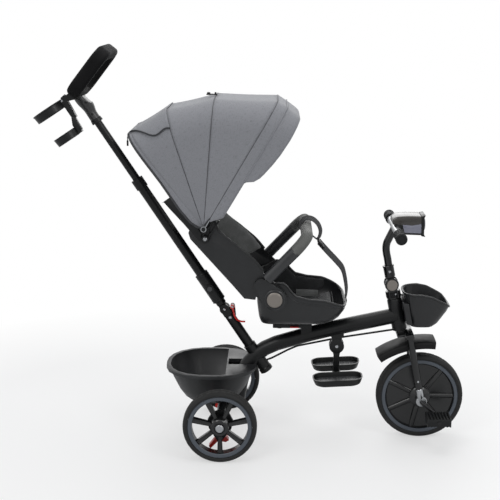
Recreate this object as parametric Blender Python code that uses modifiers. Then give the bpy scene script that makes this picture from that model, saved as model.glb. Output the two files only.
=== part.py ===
# Toddler push tricycle: steel frame, reclining swivel seat with bumper bar and folding canopy,
# steering push pole, pedalled front wheel. Metres, +Z up, forward is +X, the rider's left is +Y.
# Side-view positions are (x, z) with x measured forward from the rear axle and z from the floor.

from math import atan2, cos, hypot, pi, radians, sin

import bmesh
import bpy
from mathutils import Matrix, Vector

for old in list(bpy.data.objects):
    bpy.data.objects.remove(old, do_unlink=True)

# Stance and wheels
REAR_AXLE_X = -0.0923
WHEELBASE = 0.570
TRACK = 0.400
REAR_WHEEL_RADIUS = 0.1025
FRONT_WHEEL_RADIUS = 0.125
REAR_TYRE_WIDTH = 0.040
FRONT_TYRE_WIDTH = 0.045
REAR_TYRE_DEPTH = 0.0135
FRONT_TYRE_DEPTH = 0.0150
REAR_RIM_DEPTH = 0.0115
REAR_HUB_RADIUS = 0.025
REAR_HUB_WIDTH = 0.0430
HUB_GAP = 0.002
SPOKE_COUNT = 7
SPOKE_WIDTH = 0.0120
SPOKE_THICKNESS = 0.014
FRONT_HUB_RADIUS = 0.030
FRONT_HUB_WIDTH = 0.086
FRONT_DISC_THICKNESS = 0.020
AXLE_RADIUS = 0.005
AXLE_HEAD_RADIUS = 0.0113
AXLE_HEAD_THICKNESS = 0.004
FIT = 0.0003

# Frame
MAIN_TUBE_RADIUS = 0.022
MAIN_TUBE_REAR = ((0.0415, 0.106), (0.047, 0.138), (0.055, 0.175), (0.074, 0.217), (0.121, 0.262))
WELD_BLOCK = (0.060, 0.040, 0.027)
MAIN_TUBE_TOP = ((0.190, 0.2885), (0.310, 0.322))
CROSS_TUBE_RADIUS = 0.014
HEAD_TILT = radians(11.5)
FORK_OFFSET = 0.0212
HEAD_LENGTH = 0.0940
HEAD_TUBE_RADIUS = 0.0170
SHROUD_WALL = 0.0035
STEERER_RADIUS = 0.0110
BUSH_WALL = 0.0022
BUSH_FLANGE = 0.0020
MAIN_TUBE_JOIN = 0.0430

# Fork, fender and basket at the front
FORK_HALF_SPAN = 0.0565
FORK_LEG_RADIUS = 0.0100
CROWN_THICKNESS = 0.0140
CROWN_FRONT = 0.034
STEERING_ARM_THICKNESS = 0.0070
EYE_RADIUS = 0.0150
EYE_THICKNESS = 0.009
FENDER_CLEARANCE = 0.0630
FENDER_HALF_WIDTH = 0.044
FENDER_SKIRT = 0.016
FENDER_WALL = 0.0025
FENDER_FRONT_ANGLE = radians(77)
FENDER_REAR_ANGLE = radians(134)
FRONT_BASKET_FLOOR = (-0.0045, 0.343)
FRONT_BASKET_FLOOR_HALF = (0.0345, 0.050)
FRONT_BASKET_RIM = (0.0175, 0.440)
FRONT_BASKET_RIM_HALF = (0.0750, 0.066)
FRONT_BASKET_LIP = (0.086, 0.384)
FRONT_BASKET_BOSS = -0.051
BASKET_WALL = 0.003

# Crank and pedals
CRANK_RADIUS = 0.0055
CRANK_LENGTH = 0.052
CRANK_ARM_Y = 0.0745
CRANK_ANGLE = radians(-38)
PEDAL_INNER_Y = 0.084
PEDAL_SIZE = (0.070, 0.062, 0.026)

# Stem and handlebar
STEM_PIVOT = 0.0440
STEM_CHEEK_RADIUS = 0.0200
YOKE_COLLAR_RADIUS = 0.0205
STEM_CHEEK_THICKNESS = 0.0065
STEM_TONGUE_HALF = 0.0110
STEM_SLEEVE_RADIUS = 0.0150
STEM_SLEEVE_TOP = 0.0530
STEM_TUBE_RADIUS = 0.0108
STEM_PATH = ((0.0731, 0.0020), (0.0970, 0.0020), (0.1165, 0.0065), (0.1309, 0.0160), (0.1463, 0.0275))
STEM_BUTTON_RADIUS = 0.0155
STEM_BUTTON_TRAVEL = 0.0030
STEM_PIN_RADIUS = 0.0040
HANDLEBAR = (0.1609, 0.0383)
HANDLEBAR_HALF = 0.1725
HANDLEBAR_RADIUS = 0.0118
GRIP_RADIUS = 0.0163
GRIP_LENGTH = 0.062
LAMP_OUTLINE = (
    (-0.006, 0.017), (0.006, 0.029), (0.083, 0.032), (0.085, -0.027), (0.026, -0.018), (0.014, -0.006)
)
LAMP_HALF_WIDTH = 0.034

# Push pole, measured along its own axis from where it crosses the main tube
POLE_BASE = (0.0946, 0.2457)
POLE_TILT = radians(33.21)
POLE_SOCKET_RADIUS = 0.0178
POLE_SOCKET_BOTTOM = -0.0335
POLE_SOCKET_TOP = 0.0340
POLE_RADIUS = 0.0145
POLE_FOOT = -0.0610
FOLD_PIN = 0.1620
FOLD_CLEARANCE = 0.0170
FOLD_TONGUE_HALF = 0.0070
FOLD_CHEEK_RADIUS = 0.0145
OUTER_POLE_TOP = 0.6100
OUTER_COLLAR_LENGTH = 0.030
INNER_POLE_RADIUS = 0.0110
INNER_POLE_BOTTOM = 0.4000
NECK_BOTTOM = 0.8000
NECK_COLLAR_RADIUS = 0.0155
CLAMP_BOTTOM = 0.1900
CLAMP_TOP = 0.2860
CLAMP_RADIUS = 0.0190
CLAMP_BUTTON_RADIUS = 0.0070
CLAMP_BUTTON_TRAVEL = 0.0025
LEVER_PIVOT = (0.0285, 0.3905)
LEVER_PIN_RADIUS = 0.0025
LUG_HALF = 0.0035
LINK_ARM = 0.0220
LINK_ROD_RADIUS = 0.0030

# Handle loop and cup holder
HANDLE_CENTRE = (-0.3500, 1.0560)
HANDLE_SLOPE = radians(52)
HANDLE_LENGTH = 0.166
HANDLE_WIDTH = 0.250
HANDLE_BAR = 0.030
HANDLE_THICKNESS = 0.047
NECK_TOP_WIDTH = 0.060
CUP_Y = -0.046
CUP_RING_RADIUS = 0.0460
CUP_RING_HEIGHT = 0.022
CUP_DEPTH = 0.104
CUP_WALL = 0.003
CUP_HINGE = (-0.4310, 0.9830)

# Seat, measured from its swivel axis and the underside of its tub
SWIVEL_X = 0.200
TUB_BOTTOM = 0.358
TUB_HALF_WIDTH = 0.135
TUB_WALL = 0.005
SWIVEL_RADIUS = 0.040
BASE_PLATE_THICKNESS = 0.011
BASE_PLATE_HALF_WIDTH = 0.045
CUSHION_THICKNESS = 0.024
CUSHION_HALF_WIDTH = 0.1145
PAD_THICKNESS = 0.024
PAD_HALF_WIDTH = 0.120
PIVOT = (-0.051, 0.091)
PIVOT_EAR_RADIUS = 0.0340
PIVOT_PIN_RADIUS = 0.0080
PIVOT_DISC_RADIUS = 0.0225
BACK_WALL = 0.0045
BACK_BODY_WALL = 0.006
HOUSING_THICKNESS = 0.0115

# Bumper bar and strap
BAR_SOCKET = (-0.088, 0.132)
BAR_SOCKET_RADIUS = 0.018
BAR_TOP = (0.036, 0.262)
BAR_RADIUS = 0.0120
BAR_STANDOFF = 0.005
BAR_CORNER = 0.045
BAR_COVER_START = 0.105
BAR_COVER_WALL = 0.004
STRAP_WIDTH = 0.030
STRAP_THICKNESS = 0.003

# Canopy, measured from its hub
CANOPY_HUB = (-0.042, 0.648)
MOUNT_BOLT = (-0.0395, 0.616)
MOUNT_THICKNESS = 0.0045
MOUNT_BOLT_RADIUS = 0.012
MOUNT_HUB_RADIUS = 0.016
BOW_RADIUS = 0.0030
BOW_ANGLES = tuple(radians(a) for a in (128.6, 108.0, 85.4, 59.5))
BOW_REACH = (0.314, 0.321, 0.336, 0.383)
BOW_SPACING = 0.0062
BOW_CORNER = 0.075
BOW_EYE_RADIUS = 0.008
FABRIC_GAP = 0.0008
FABRIC_THICKNESS = 0.0020
FABRIC_START = 0.034
VISOR_DEPTH = 0.077
VISOR_HEM = 0.030
VISOR_START = 0.165
VISOR_SLANT = 0.060
VISOR_DROP = 0.008
VISOR_LIP = 0.034

# Footrest
FOOT_PIVOT = (0.328, 0.273)
FOOT_DISC_RADIUS = 0.0222
FOOT_ARM_HALF = 0.0095
FOOT_CHEEK_THICKNESS = 0.004
FOOT_PIN_RADIUS = 0.005
FOOT_PLATE_SHIFT = 0.001
FOOT_PLATE_TOP = 0.200
FOOT_PLATE_HEIGHT = 0.022
FOOT_PLATE_LENGTH = 0.142
FOOT_PLATE_INNER = 0.028
FOOT_PLATE_OUTER = 0.106
FOOT_WALL = 0.004

# Rear basket and brakes
REAR_BASKET_CENTRE = -0.031
REAR_BASKET_HALF_LENGTH = 0.132
REAR_BASKET_HALF_WIDTH = 0.133
REAR_BASKET_TOP = 0.221
REAR_BASKET_FRONT_WALL = 0.012
BRAKE_HOUSING_RADIUS = 0.036
BRAKE_HOUSING_THICKNESS = 0.010
BRAKE_PIVOT = (-0.002, 0.056)
BRAKE_PEDAL_WIDTH = 0.020

parts = bpy.data.collections.new("push_tricycle")
cutters = bpy.data.collections.new("cutters")
cutters.hide_render = True
for collection in (parts, cutters):
    bpy.context.scene.collection.children.link(collection)


# Places in the side view, and in the frames of the steering axis and of the push pole
def side(x, z, y=0.0):
    """A point x ahead of the rear axle, z above the floor and y to the rider's left."""
    return Vector((REAR_AXLE_X + x, y, z))


# Heights along the steering axis follow from the wheel, the fender and the crown
FENDER_RADIUS = FRONT_WHEEL_RADIUS + FENDER_CLEARANCE
CROWN_BOTTOM = FENDER_RADIUS + 0.0015
CROWN_TOP = CROWN_BOTTOM + CROWN_THICKNESS
HEAD_BOTTOM = CROWN_TOP + 0.0025
HEAD_TOP = HEAD_BOTTOM + HEAD_LENGTH
STEM_AXIS = HEAD_TOP + STEM_PIVOT

STEER_UP = Vector((-sin(HEAD_TILT), 0, cos(HEAD_TILT)))
STEER_FORWARD = Vector((cos(HEAD_TILT), 0, sin(HEAD_TILT)))
CROSS_TUBE_HALF = TRACK / 2 - REAR_HUB_WIDTH / 2 - HUB_GAP - BRAKE_HOUSING_THICKNESS - FIT
FRONT_AXLE = side(WHEELBASE, FRONT_WHEEL_RADIUS)
STEER_FOOT = FRONT_AXLE - STEER_FORWARD * FORK_OFFSET
POLE_UP = Vector((-sin(POLE_TILT), 0, cos(POLE_TILT)))
POLE_FORWARD = Vector((cos(POLE_TILT), 0, sin(POLE_TILT)))
ACROSS = Vector((0, 1, 0))
REAR_AXLE = side(0, REAR_WHEEL_RADIUS)


def ahead(x, z, y=0.0):
    """A point x ahead of the front axle, z above the floor."""
    return side(WHEELBASE + x, z, y)


def on_steering(up, forward=0.0, y=0.0):
    return STEER_FOOT + STEER_UP * up + STEER_FORWARD * forward + ACROSS * y


def on_pole(up, forward=0.0, y=0.0):
    return side(*POLE_BASE) + POLE_UP * up + POLE_FORWARD * forward + ACROSS * y


def on_seat(x, z, y=0.0):
    return side(SWIVEL_X + x, TUB_BOTTOM + z, y)


def aimed(origin, axis):
    """A frame at origin whose local Z runs along axis."""
    return Matrix.Translation(origin) @ Vector(axis).to_track_quat("Z", "Y").to_matrix().to_4x4()


def leaning(origin, tilt):
    """A frame at origin that leans back by tilt, as the head tube and the pole do."""
    return Matrix.Translation(origin) @ Matrix.Rotation(-tilt, 4, "Y")


# Colours and bodies
def look(name, shade, roughness, metallic=0.0):
    material = bpy.data.materials.new(name)
    material.use_nodes = True
    shader = material.node_tree.nodes["Principled BSDF"]
    shader.inputs["Base Color"].default_value = (*shade, 1)
    shader.inputs["Roughness"].default_value = roughness
    shader.inputs["Metallic"].default_value = metallic
    return material


STEEL_PAINT = (0.018, 0.018, 0.019), 0.38
BLACK_PLASTIC = (0.022, 0.022, 0.024), 0.55
GREY_PLASTIC = (0.085, 0.088, 0.095), 0.5
BLUE_GREY = (0.11, 0.13, 0.16), 0.6
TYRE_FOAM = (0.030, 0.028, 0.026), 0.85
RED_PLASTIC = (0.62, 0.02, 0.015), 0.45
CANOPY_GREY = (0.16, 0.165, 0.175), 0.9
STRAP_BLACK = (0.03, 0.03, 0.032), 0.85
BRIGHT_STEEL = (0.6, 0.6, 0.6), 0.3, 1.0
HANDLE_WRAP = (0.03, 0.03, 0.032), 0.7


def body(name, origin, parent=None):
    """An empty on the joint's axis, which carries the pieces that move together."""
    empty = bpy.data.objects.new(name, None)
    parts.objects.link(empty)
    empty.location = origin
    if parent:
        empty.parent = parent
        empty.matrix_parent_inverse = Matrix.Translation(-parent.location)
    return empty


def node(name, colour, carrier, first, joined=(), removed=()):
    """One solid of the object: the first shape, joined with others, less the removed ones."""
    cutters.objects.unlink(first)
    parts.objects.link(first)
    first.name = name
    first.hide_render = False
    first.display_type = "TEXTURED"
    first.data.materials.append(look(name, *colour))
    for operation, shapes in (("UNION", joined), ("DIFFERENCE", removed)):
        for shape in shapes:
            modifier = first.modifiers.new(operation.lower(), "BOOLEAN")
            modifier.operation = operation
            modifier.object = shape
    first.parent = carrier
    first.matrix_parent_inverse = Matrix.Translation(-carrier.location)
    return first


# Shapes
def keep(mesh, place=None):
    mesh.shade_smooth()
    mesh.set_sharp_from_angle(angle=radians(35))
    shape = bpy.data.objects.new("shape", mesh)
    cutters.objects.link(shape)
    shape.hide_render = True
    shape.display_type = "WIRE"
    if place:
        shape.matrix_world = place
    return shape


def from_bmesh(bm, place=None):
    bmesh.ops.recalc_face_normals(bm, faces=bm.faces)
    mesh = bpy.data.meshes.new("shape")
    bm.to_mesh(mesh)
    bm.free()
    return keep(mesh, place)


def rod(start, end, radius, end_radius=None, sides=16):
    """A cylinder, or a cone where the end has its own radius."""
    start, end = Vector(start), Vector(end)
    bm = bmesh.new()
    bmesh.ops.create_cone(
        bm,
        cap_ends=True,
        segments=sides,
        radius1=radius,
        radius2=radius if end_radius is None else end_radius,
        depth=(end - start).length,
    )
    return from_bmesh(bm, aimed((start + end) / 2, end - start))


def box(size, place, edge=0.0):
    """A box of the given size centred on place, with its edges rounded by edge."""
    bm = bmesh.new()
    bmesh.ops.create_cube(bm, size=1)
    bmesh.ops.scale(bm, vec=size, verts=bm.verts)
    if edge:
        bmesh.ops.bevel(
            bm, geom=bm.edges, offset=edge, segments=2, profile=0.5, affect="EDGES", clamp_overlap=True
        )
    return from_bmesh(bm, place if isinstance(place, Matrix) else Matrix.Translation(place))


def turned(profile, origin, axis, steps=24):
    """A profile of (radius, height) turned about the axis; it runs down its outer side."""
    mesh = bpy.data.meshes.new("shape")
    count = len(profile)
    edges = [(i, i + 1) for i in range(count - 1)]
    if min(radius for radius, _ in profile) > 0:
        edges.append((count - 1, 0))
    mesh.from_pydata([(radius, 0, height) for radius, height in profile], edges, [])
    shape = keep(mesh, aimed(origin, axis))
    screw = shape.modifiers.new("turn", "SCREW")
    screw.steps = screw.render_steps = steps
    screw.use_merge_vertices = True
    screw.merge_threshold = 0.00001
    screw.use_smooth_shade = True
    return shape


def from_curve(curve, place=None):
    """The curve's evaluated mesh with its caps welded on."""
    guide = bpy.data.objects.new("guide", curve)
    cutters.objects.link(guide)
    mesh = bpy.data.meshes.new_from_object(guide.evaluated_get(bpy.context.evaluated_depsgraph_get()))
    bpy.data.objects.remove(guide)
    bm = bmesh.new()
    bm.from_mesh(mesh)
    bmesh.ops.remove_doubles(bm, verts=bm.verts, dist=0.000005)
    return from_bmesh(bm, place)


def pipe(points, radius, sides=12, detail=4, smooth=True, closed=False, place=None):
    """A round bar along the points, through a smooth curve or straight between them."""
    curve = bpy.data.curves.new("guide", "CURVE")
    curve.dimensions = "3D"
    curve.bevel_depth = radius
    curve.bevel_resolution = sides // 2 - 2
    curve.use_fill_caps = True
    curve.resolution_u = detail
    spline = curve.splines.new("BEZIER" if smooth else "POLY")
    ends = spline.bezier_points if smooth else spline.points
    ends.add(len(points) - 1)
    for end, point in zip(ends, points):
        end.co = point if smooth else (*point, 1)
        if smooth:
            end.handle_left_type = end.handle_right_type = "AUTO"
    spline.use_cyclic_u = closed
    return from_curve(curve, place)


def slab(outline, low, high, round_edge=0.0):
    """A side-view outline of world (x, z) corners, as thick as from y = low to y = high."""
    curve = bpy.data.curves.new("guide", "CURVE")
    curve.dimensions = "2D"
    curve.fill_mode = "BOTH"
    curve.extrude = (high - low) / 2
    spline = curve.splines.new("POLY")
    spline.points.add(len(outline) - 1)
    for corner, (x, z) in zip(spline.points, outline):
        corner.co = (x, z, 0, 1)
    spline.use_cyclic_u = True
    middle = Vector((0, (low + high) / 2, 0))
    shape = from_curve(curve, Matrix.Translation(middle) @ Matrix.Rotation(pi / 2, 4, "X"))
    if round_edge:
        bevel = shape.modifiers.new("round", "BEVEL")
        bevel.width = round_edge
        bevel.segments = 2
        bevel.limit_method = "ANGLE"
        bevel.angle_limit = radians(50)
    return shape


def loft(rings):
    """A solid through rings of points, each with as many points as the next."""
    bm = bmesh.new()
    rows = [[bm.verts.new(point) for point in ring] for ring in rings]
    count = len(rows[0])
    for lower, upper in zip(rows, rows[1:]):
        for i in range(count):
            j = (i + 1) % count
            bm.faces.new((lower[i], lower[j], upper[j], upper[i]))
    bm.faces.new(rows[0])
    bm.faces.new(rows[-1])
    return from_bmesh(bm)


def sheet(outer, inner):
    """A closed sheet between two grids of points with the same rows and columns."""
    bm = bmesh.new()
    grids = [[[bm.verts.new(point) for point in row] for row in grid] for grid in (outer, inner)]
    rows, columns = len(outer), len(outer[0])
    for grid in grids:
        for i in range(rows - 1):
            for j in range(columns - 1):
                bm.faces.new((grid[i][j], grid[i][j + 1], grid[i + 1][j + 1], grid[i + 1][j]))
    border = [(i, 0) for i in range(rows)] + [(rows - 1, j) for j in range(1, columns)]
    border += [(i, columns - 1) for i in range(rows - 2, -1, -1)]
    border += [(0, j) for j in range(columns - 2, 0, -1)]
    for (i, j), (k, m) in zip(border, border[1:] + border[:1]):
        bm.faces.new((grids[0][i][j], grids[0][k][m], grids[1][k][m], grids[1][i][j]))
    return from_bmesh(bm)


def xz(points, to_world=side):
    """World (x, z) corners of side-view points."""
    return [(p.x, p.z) for p in (to_world(*point) for point in points)]


def arc(centre, radius, first, last, steps):
    """Points round a centre, with angles from +X towards +Z."""
    return [
        (
            centre[0] + radius * cos(first + (last - first) * i / steps),
            centre[1] + radius * sin(first + (last - first) * i / steps),
        )
        for i in range(steps + 1)
    ]


def link_outline(first, first_radius, second, second_radius, steps=6):
    """The outline of two discs and the straight sides that touch both."""
    dx, dz = second[0] - first[0], second[1] - first[1]
    heading = atan2(dz, dx)
    lean = pi / 2 - atan2(first_radius - second_radius, hypot(dx, dz))
    return arc(first, first_radius, heading + lean, heading + 2 * pi - lean, steps) + arc(
        second, second_radius, heading - lean, heading + lean, steps
    )


def offset_line(points, distance):
    """The open line moved sideways by distance, to its left as it runs."""
    moved = []
    for i, (x, z) in enumerate(points):
        before = points[max(i - 1, 0)]
        after = points[min(i + 1, len(points) - 1)]
        legs = []
        for (ax, az), (bx, bz) in ((before, (x, z)), ((x, z), after)):
            length = hypot(bx - ax, bz - az)
            if length:
                legs.append((-(bz - az) / length, (bx - ax) / length))
        nx, nz = sum(leg[0] for leg in legs), sum(leg[1] for leg in legs)
        scale = distance * len(legs) / (nx * nx + nz * nz)
        moved.append((x + nx * scale, z + nz * scale))
    return moved


def oval(centre, half_length, half_width, height, power=2.4, count=24):
    """A level ring of points between an ellipse and a rounded rectangle."""
    ring = []
    for i in range(count):
        angle = 2 * pi * i / count
        c, s = cos(angle), sin(angle)
        reach = (abs(c) ** power + abs(s) ** power) ** (-1 / power)
        ring.append(Vector((centre.x + half_length * reach * c, centre.y + half_width * reach * s, height)))
    return ring


# Bodies, from the frame outwards
frame = body("frame", REAR_AXLE)
fork_body = body("fork_body", on_steering(HEAD_BOTTOM), frame)
stem_body = body("stem_body", on_steering(STEM_AXIS), fork_body)
stem_button_body = body("stem_button_body", on_steering(STEM_AXIS), fork_body)
front_wheel = body("front_wheel", FRONT_AXLE, fork_body)
crank_body = body("crank_body", FRONT_AXLE, fork_body)
link_body = body("link_body", side(0.335, 0.292, LINK_ARM), frame)
lower_pole_body = body("lower_pole_body", on_pole(0), frame)
lever_body = body("lever_body", side(*LEVER_PIVOT), lower_pole_body)
outer_pole_body = body("outer_pole_body", on_pole(FOLD_PIN), lower_pole_body)
clamp_button_body = body("clamp_button_body", on_pole((CLAMP_BOTTOM + CLAMP_TOP) / 2), outer_pole_body)
inner_pole_body = body("inner_pole_body", on_pole(OUTER_POLE_TOP), outer_pole_body)
cup_body = body("cup_body", side(*CUP_HINGE, CUP_Y), inner_pole_body)
seat_body = body("seat_body", side(SWIVEL_X, TUB_BOTTOM), frame)
seat_lever_body = body("seat_lever_body", on_seat(0, -0.016), frame)
back_body = body("back_body", on_seat(*PIVOT), seat_body)
bar_body = body("bar_body", on_seat(*BAR_SOCKET), seat_body)
footrest_body = body("footrest_body", side(*FOOT_PIVOT), frame)
bow_bodies = [back_body]
for index in range(1, len(BOW_ANGLES)):
    bow_bodies.append(body(f"canopy_bow_{index + 1}_body", side(*CANOPY_HUB), bow_bodies[-1]))

# Main frame: the bent main tube, the cross tube of the rear axle, the head tube and the pole socket, welded
main_path = [side(x, z) for x, z in MAIN_TUBE_REAR + MAIN_TUBE_TOP]
head_joint = on_steering(HEAD_BOTTOM + MAIN_TUBE_JOIN)
main_path += [main_path[-1].lerp(head_joint, 0.6), head_joint]
head_tube = rod(on_steering(HEAD_BOTTOM), on_steering(HEAD_TOP), HEAD_TUBE_RADIUS)
pole_socket = rod(on_pole(POLE_SOCKET_BOTTOM), on_pole(POLE_SOCKET_TOP), POLE_SOCKET_RADIUS)
cross_tube = rod(
    REAR_AXLE - ACROSS * CROSS_TUBE_HALF, REAR_AXLE + ACROSS * CROSS_TUBE_HALF, CROSS_TUBE_RADIUS
)
BUSH_RADIUS = STEERER_RADIUS + FIT + BUSH_WALL
POLE_BORE = POLE_RADIUS + FIT
OVER = 0.004
node(
    "main_frame",
    STEEL_PAINT,
    frame,
    pipe(main_path, MAIN_TUBE_RADIUS, sides=16, detail=2),
    joined=(
        cross_tube,
        head_tube,
        pole_socket,
        box(WELD_BLOCK, side(MAIN_TUBE_REAR[0][0] - WELD_BLOCK[0] / 4, REAR_WHEEL_RADIUS)),
    ),
    removed=(
        rod(on_steering(HEAD_BOTTOM - OVER), on_steering(HEAD_TOP + OVER), BUSH_RADIUS + FIT, sides=24),
        rod(on_pole(POLE_SOCKET_BOTTOM - OVER), on_pole(POLE_SOCKET_TOP + OVER), POLE_BORE, sides=24),
        rod(
            REAR_AXLE - ACROSS * (CROSS_TUBE_HALF + OVER),
            REAR_AXLE + ACROSS * (CROSS_TUBE_HALF + OVER),
            AXLE_RADIUS + FIT,
        ),
    ),
)

# Head tube cover in black plastic, cut away round the main tube
cover_radius = HEAD_TUBE_RADIUS + FIT + SHROUD_WALL
cover_inner = HEAD_TUBE_RADIUS + FIT
node(
    "head_cover",
    BLACK_PLASTIC,
    frame,
    turned(
        (
            (cover_radius - 0.002, HEAD_TOP),
            (cover_radius, HEAD_TOP - 0.004),
            (cover_radius, HEAD_BOTTOM + 0.001),
            (cover_inner, HEAD_BOTTOM + 0.001),
            (cover_inner, HEAD_TOP),
        ),
        STEER_FOOT,
        STEER_UP,
    ),
    removed=(pipe(main_path, MAIN_TUBE_RADIUS + FIT, sides=16, detail=2),),
)

# Steering bush: a plastic sleeve with a flange that seats on the head tube's top
node(
    "steering_bush",
    GREY_PLASTIC,
    frame,
    turned(
        (
            (HEAD_TUBE_RADIUS, HEAD_TOP + FIT + BUSH_FLANGE),
            (HEAD_TUBE_RADIUS, HEAD_TOP + FIT),
            (BUSH_RADIUS, HEAD_TOP + FIT),
            (BUSH_RADIUS, HEAD_BOTTOM + 0.002),
            (STEERER_RADIUS + FIT, HEAD_BOTTOM + 0.002),
            (STEERER_RADIUS + FIT, HEAD_TOP + FIT + BUSH_FLANGE),
        ),
        STEER_FOOT,
        STEER_UP,
    ),
)

# Rear axle rod with its two bright heads
axle_end = TRACK / 2 + REAR_HUB_WIDTH / 2 + FIT
node(
    "rear_axle",
    BRIGHT_STEEL,
    frame,
    turned(
        (
            (0, axle_end + AXLE_HEAD_THICKNESS),
            (AXLE_HEAD_RADIUS - 0.0015, axle_end + AXLE_HEAD_THICKNESS),
            (AXLE_HEAD_RADIUS, axle_end + AXLE_HEAD_THICKNESS - 0.0015),
            (AXLE_HEAD_RADIUS, axle_end),
            (AXLE_RADIUS, axle_end),
            (AXLE_RADIUS, -axle_end),
            (AXLE_HEAD_RADIUS, -axle_end),
            (AXLE_HEAD_RADIUS, -axle_end - AXLE_HEAD_THICKNESS + 0.0015),
            (AXLE_HEAD_RADIUS - 0.0015, -axle_end - AXLE_HEAD_THICKNESS),
            (0, -axle_end - AXLE_HEAD_THICKNESS),
        ),
        REAR_AXLE,
        ACROSS,
        steps=20,
    ),
)

# Rear wheels, brake housings and the red rocker pedals
TYRE_CROWN = 0.30
WHEEL_STEPS = 28
rear_rim_outer = REAR_WHEEL_RADIUS - REAR_TYRE_DEPTH
rear_rim_inner = rear_rim_outer - REAR_RIM_DEPTH
front_rim_outer = FRONT_WHEEL_RADIUS - FRONT_TYRE_DEPTH


def tyre_profile(radius, depth, width):
    """The section of a foam tyre with rounded shoulders."""
    half = width / 2
    shoulder = depth * 0.55
    return (
        (radius - depth + FIT, half * 0.86),
        (radius - shoulder, half),
        (radius - shoulder * 0.35, half * 0.82),
        (radius, half * TYRE_CROWN),
        (radius, -half * TYRE_CROWN),
        (radius - shoulder * 0.35, -half * 0.82),
        (radius - shoulder, -half),
        (radius - depth + FIT, -half * 0.86),
    )


rear_tyre = tyre_profile(REAR_WHEEL_RADIUS, REAR_TYRE_DEPTH, REAR_TYRE_WIDTH)
for name, hand in (("left", 1), ("right", -1)):
    wheel_centre = REAR_AXLE + ACROSS * hand * TRACK / 2
    wheel_body = body(f"rear_wheel_{name}_body", wheel_centre, frame)
    node(
        f"rear_tyre_{name}",
        TYRE_FOAM,
        wheel_body,
        turned(rear_tyre, wheel_centre, ACROSS, WHEEL_STEPS),
    )
    half = REAR_TYRE_WIDTH / 2 * 0.84
    hub = turned(
        (
            (REAR_HUB_RADIUS - 0.003, REAR_HUB_WIDTH / 2),
            (REAR_HUB_RADIUS, REAR_HUB_WIDTH / 2 - 0.004),
            (REAR_HUB_RADIUS, -REAR_HUB_WIDTH / 2 + 0.004),
            (REAR_HUB_RADIUS - 0.003, -REAR_HUB_WIDTH / 2),
            (AXLE_RADIUS + FIT, -REAR_HUB_WIDTH / 2),
            (AXLE_RADIUS + FIT, REAR_HUB_WIDTH / 2),
        ),
        wheel_centre,
        ACROSS,
        20,
    )
    spokes = []
    for index in range(SPOKE_COUNT):
        turn = Matrix.Rotation(2 * pi * index / SPOKE_COUNT, 4, "Y")
        reach = (REAR_HUB_RADIUS + rear_rim_inner) / 2
        spokes.append(
            box(
                (SPOKE_WIDTH, SPOKE_THICKNESS, rear_rim_inner - REAR_HUB_RADIUS + 0.010),
                Matrix.Translation(wheel_centre) @ turn @ Matrix.Translation((0, 0, -reach)),
            )
        )
    rim = turned(
        (
            (rear_rim_outer - 0.0015, half),
            (rear_rim_outer, half - 0.0015),
            (rear_rim_outer, -half + 0.0015),
            (rear_rim_outer - 0.0015, -half),
            (rear_rim_inner, -half),
            (rear_rim_inner, half),
        ),
        wheel_centre,
        ACROSS,
        WHEEL_STEPS,
    )
    node(f"rear_rim_{name}", BLUE_GREY, wheel_body, rim, joined=(hub, *spokes))

    outer = TRACK / 2 - REAR_HUB_WIDTH / 2 - HUB_GAP
    inner = outer - BRAKE_HOUSING_THICKNESS
    low, high = sorted((hand * inner, hand * outer))
    brake_pin = 0.003
    lug = link_outline((0, REAR_WHEEL_RADIUS), BRAKE_HOUSING_RADIUS, BRAKE_PIVOT, 0.010)
    pivot = side(*BRAKE_PIVOT)
    node(
        f"brake_housing_{name}",
        BLACK_PLASTIC,
        frame,
        slab(xz(lug), low, high),
        removed=(
            rod(REAR_AXLE + ACROSS * (low - OVER), REAR_AXLE + ACROSS * (high + OVER), AXLE_RADIUS + FIT),
            rod(pivot + ACROSS * (low - OVER), pivot + ACROSS * (high + OVER), brake_pin + FIT),
        ),
    )
    brake_body = body(f"brake_{name}_body", pivot, frame)
    near, far = sorted((hand * (inner - FIT), hand * (inner - FIT - BRAKE_PEDAL_WIDTH)))
    paddle = (
        (-0.0330, 0.0280),
        (-0.0290, 0.0200),
        (-0.0060, 0.0445),
        (0.0140, 0.0400),
        (0.0230, 0.0450),
        (0.0180, 0.0540),
        (0.0080, 0.0600),
        (-0.0080, 0.0620),
    )
    node(
        f"brake_pedal_{name}",
        RED_PLASTIC,
        brake_body,
        slab(xz(paddle), near, far),
        joined=(
            rod(
                pivot + ACROSS * hand * (inner - FIT - BRAKE_PEDAL_WIDTH / 2),
                pivot + ACROSS * hand * (outer - 0.001),
                brake_pin,
                sides=12,
            ),
        ),
    )

# Rear basket: a deep bowl behind, and two ears that reach forward on both sides of the main tube
basket_middle = side(REAR_BASKET_CENTRE, 0)
basket_floor = REAR_WHEEL_RADIUS + CROSS_TUBE_RADIUS + FIT


def bowl(shrink=0.0, above=0.0, below=0.0):
    """The bowl's rings from floor to rim, drawn in by shrink, reaching above the rim and below the floor."""
    shares = [(0.0, 0.50), (0.12, 0.61), (0.36, 0.74), (0.68, 0.86), (0.90, 0.925)]
    if shrink:
        shares.append((1.0, 0.93))
    else:
        shares += [(0.91, 1.0), (0.99, 1.0), (1.0, 0.98)]
    floor = basket_floor + shrink
    rings = []
    for rise, share in shares:
        height = floor + (REAR_BASKET_TOP - floor) * rise
        half_length = REAR_BASKET_HALF_LENGTH * share - shrink
        half_width = REAR_BASKET_HALF_WIDTH * share - shrink
        rings.append(oval(basket_middle, half_length, half_width, height))
    for ring, step in ((rings[-1], above), (rings[0], -below)):
        if step:
            rings.insert(len(rings) if step > 0 else 0, [point + Vector((0, 0, step)) for point in ring])
    return rings


def trimmed(shape, keeper):
    """The shape kept only inside the keeper."""
    modifier = shape.modifiers.new("inside", "BOOLEAN")
    modifier.operation = "INTERSECT"
    modifier.object = keeper
    return shape


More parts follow.
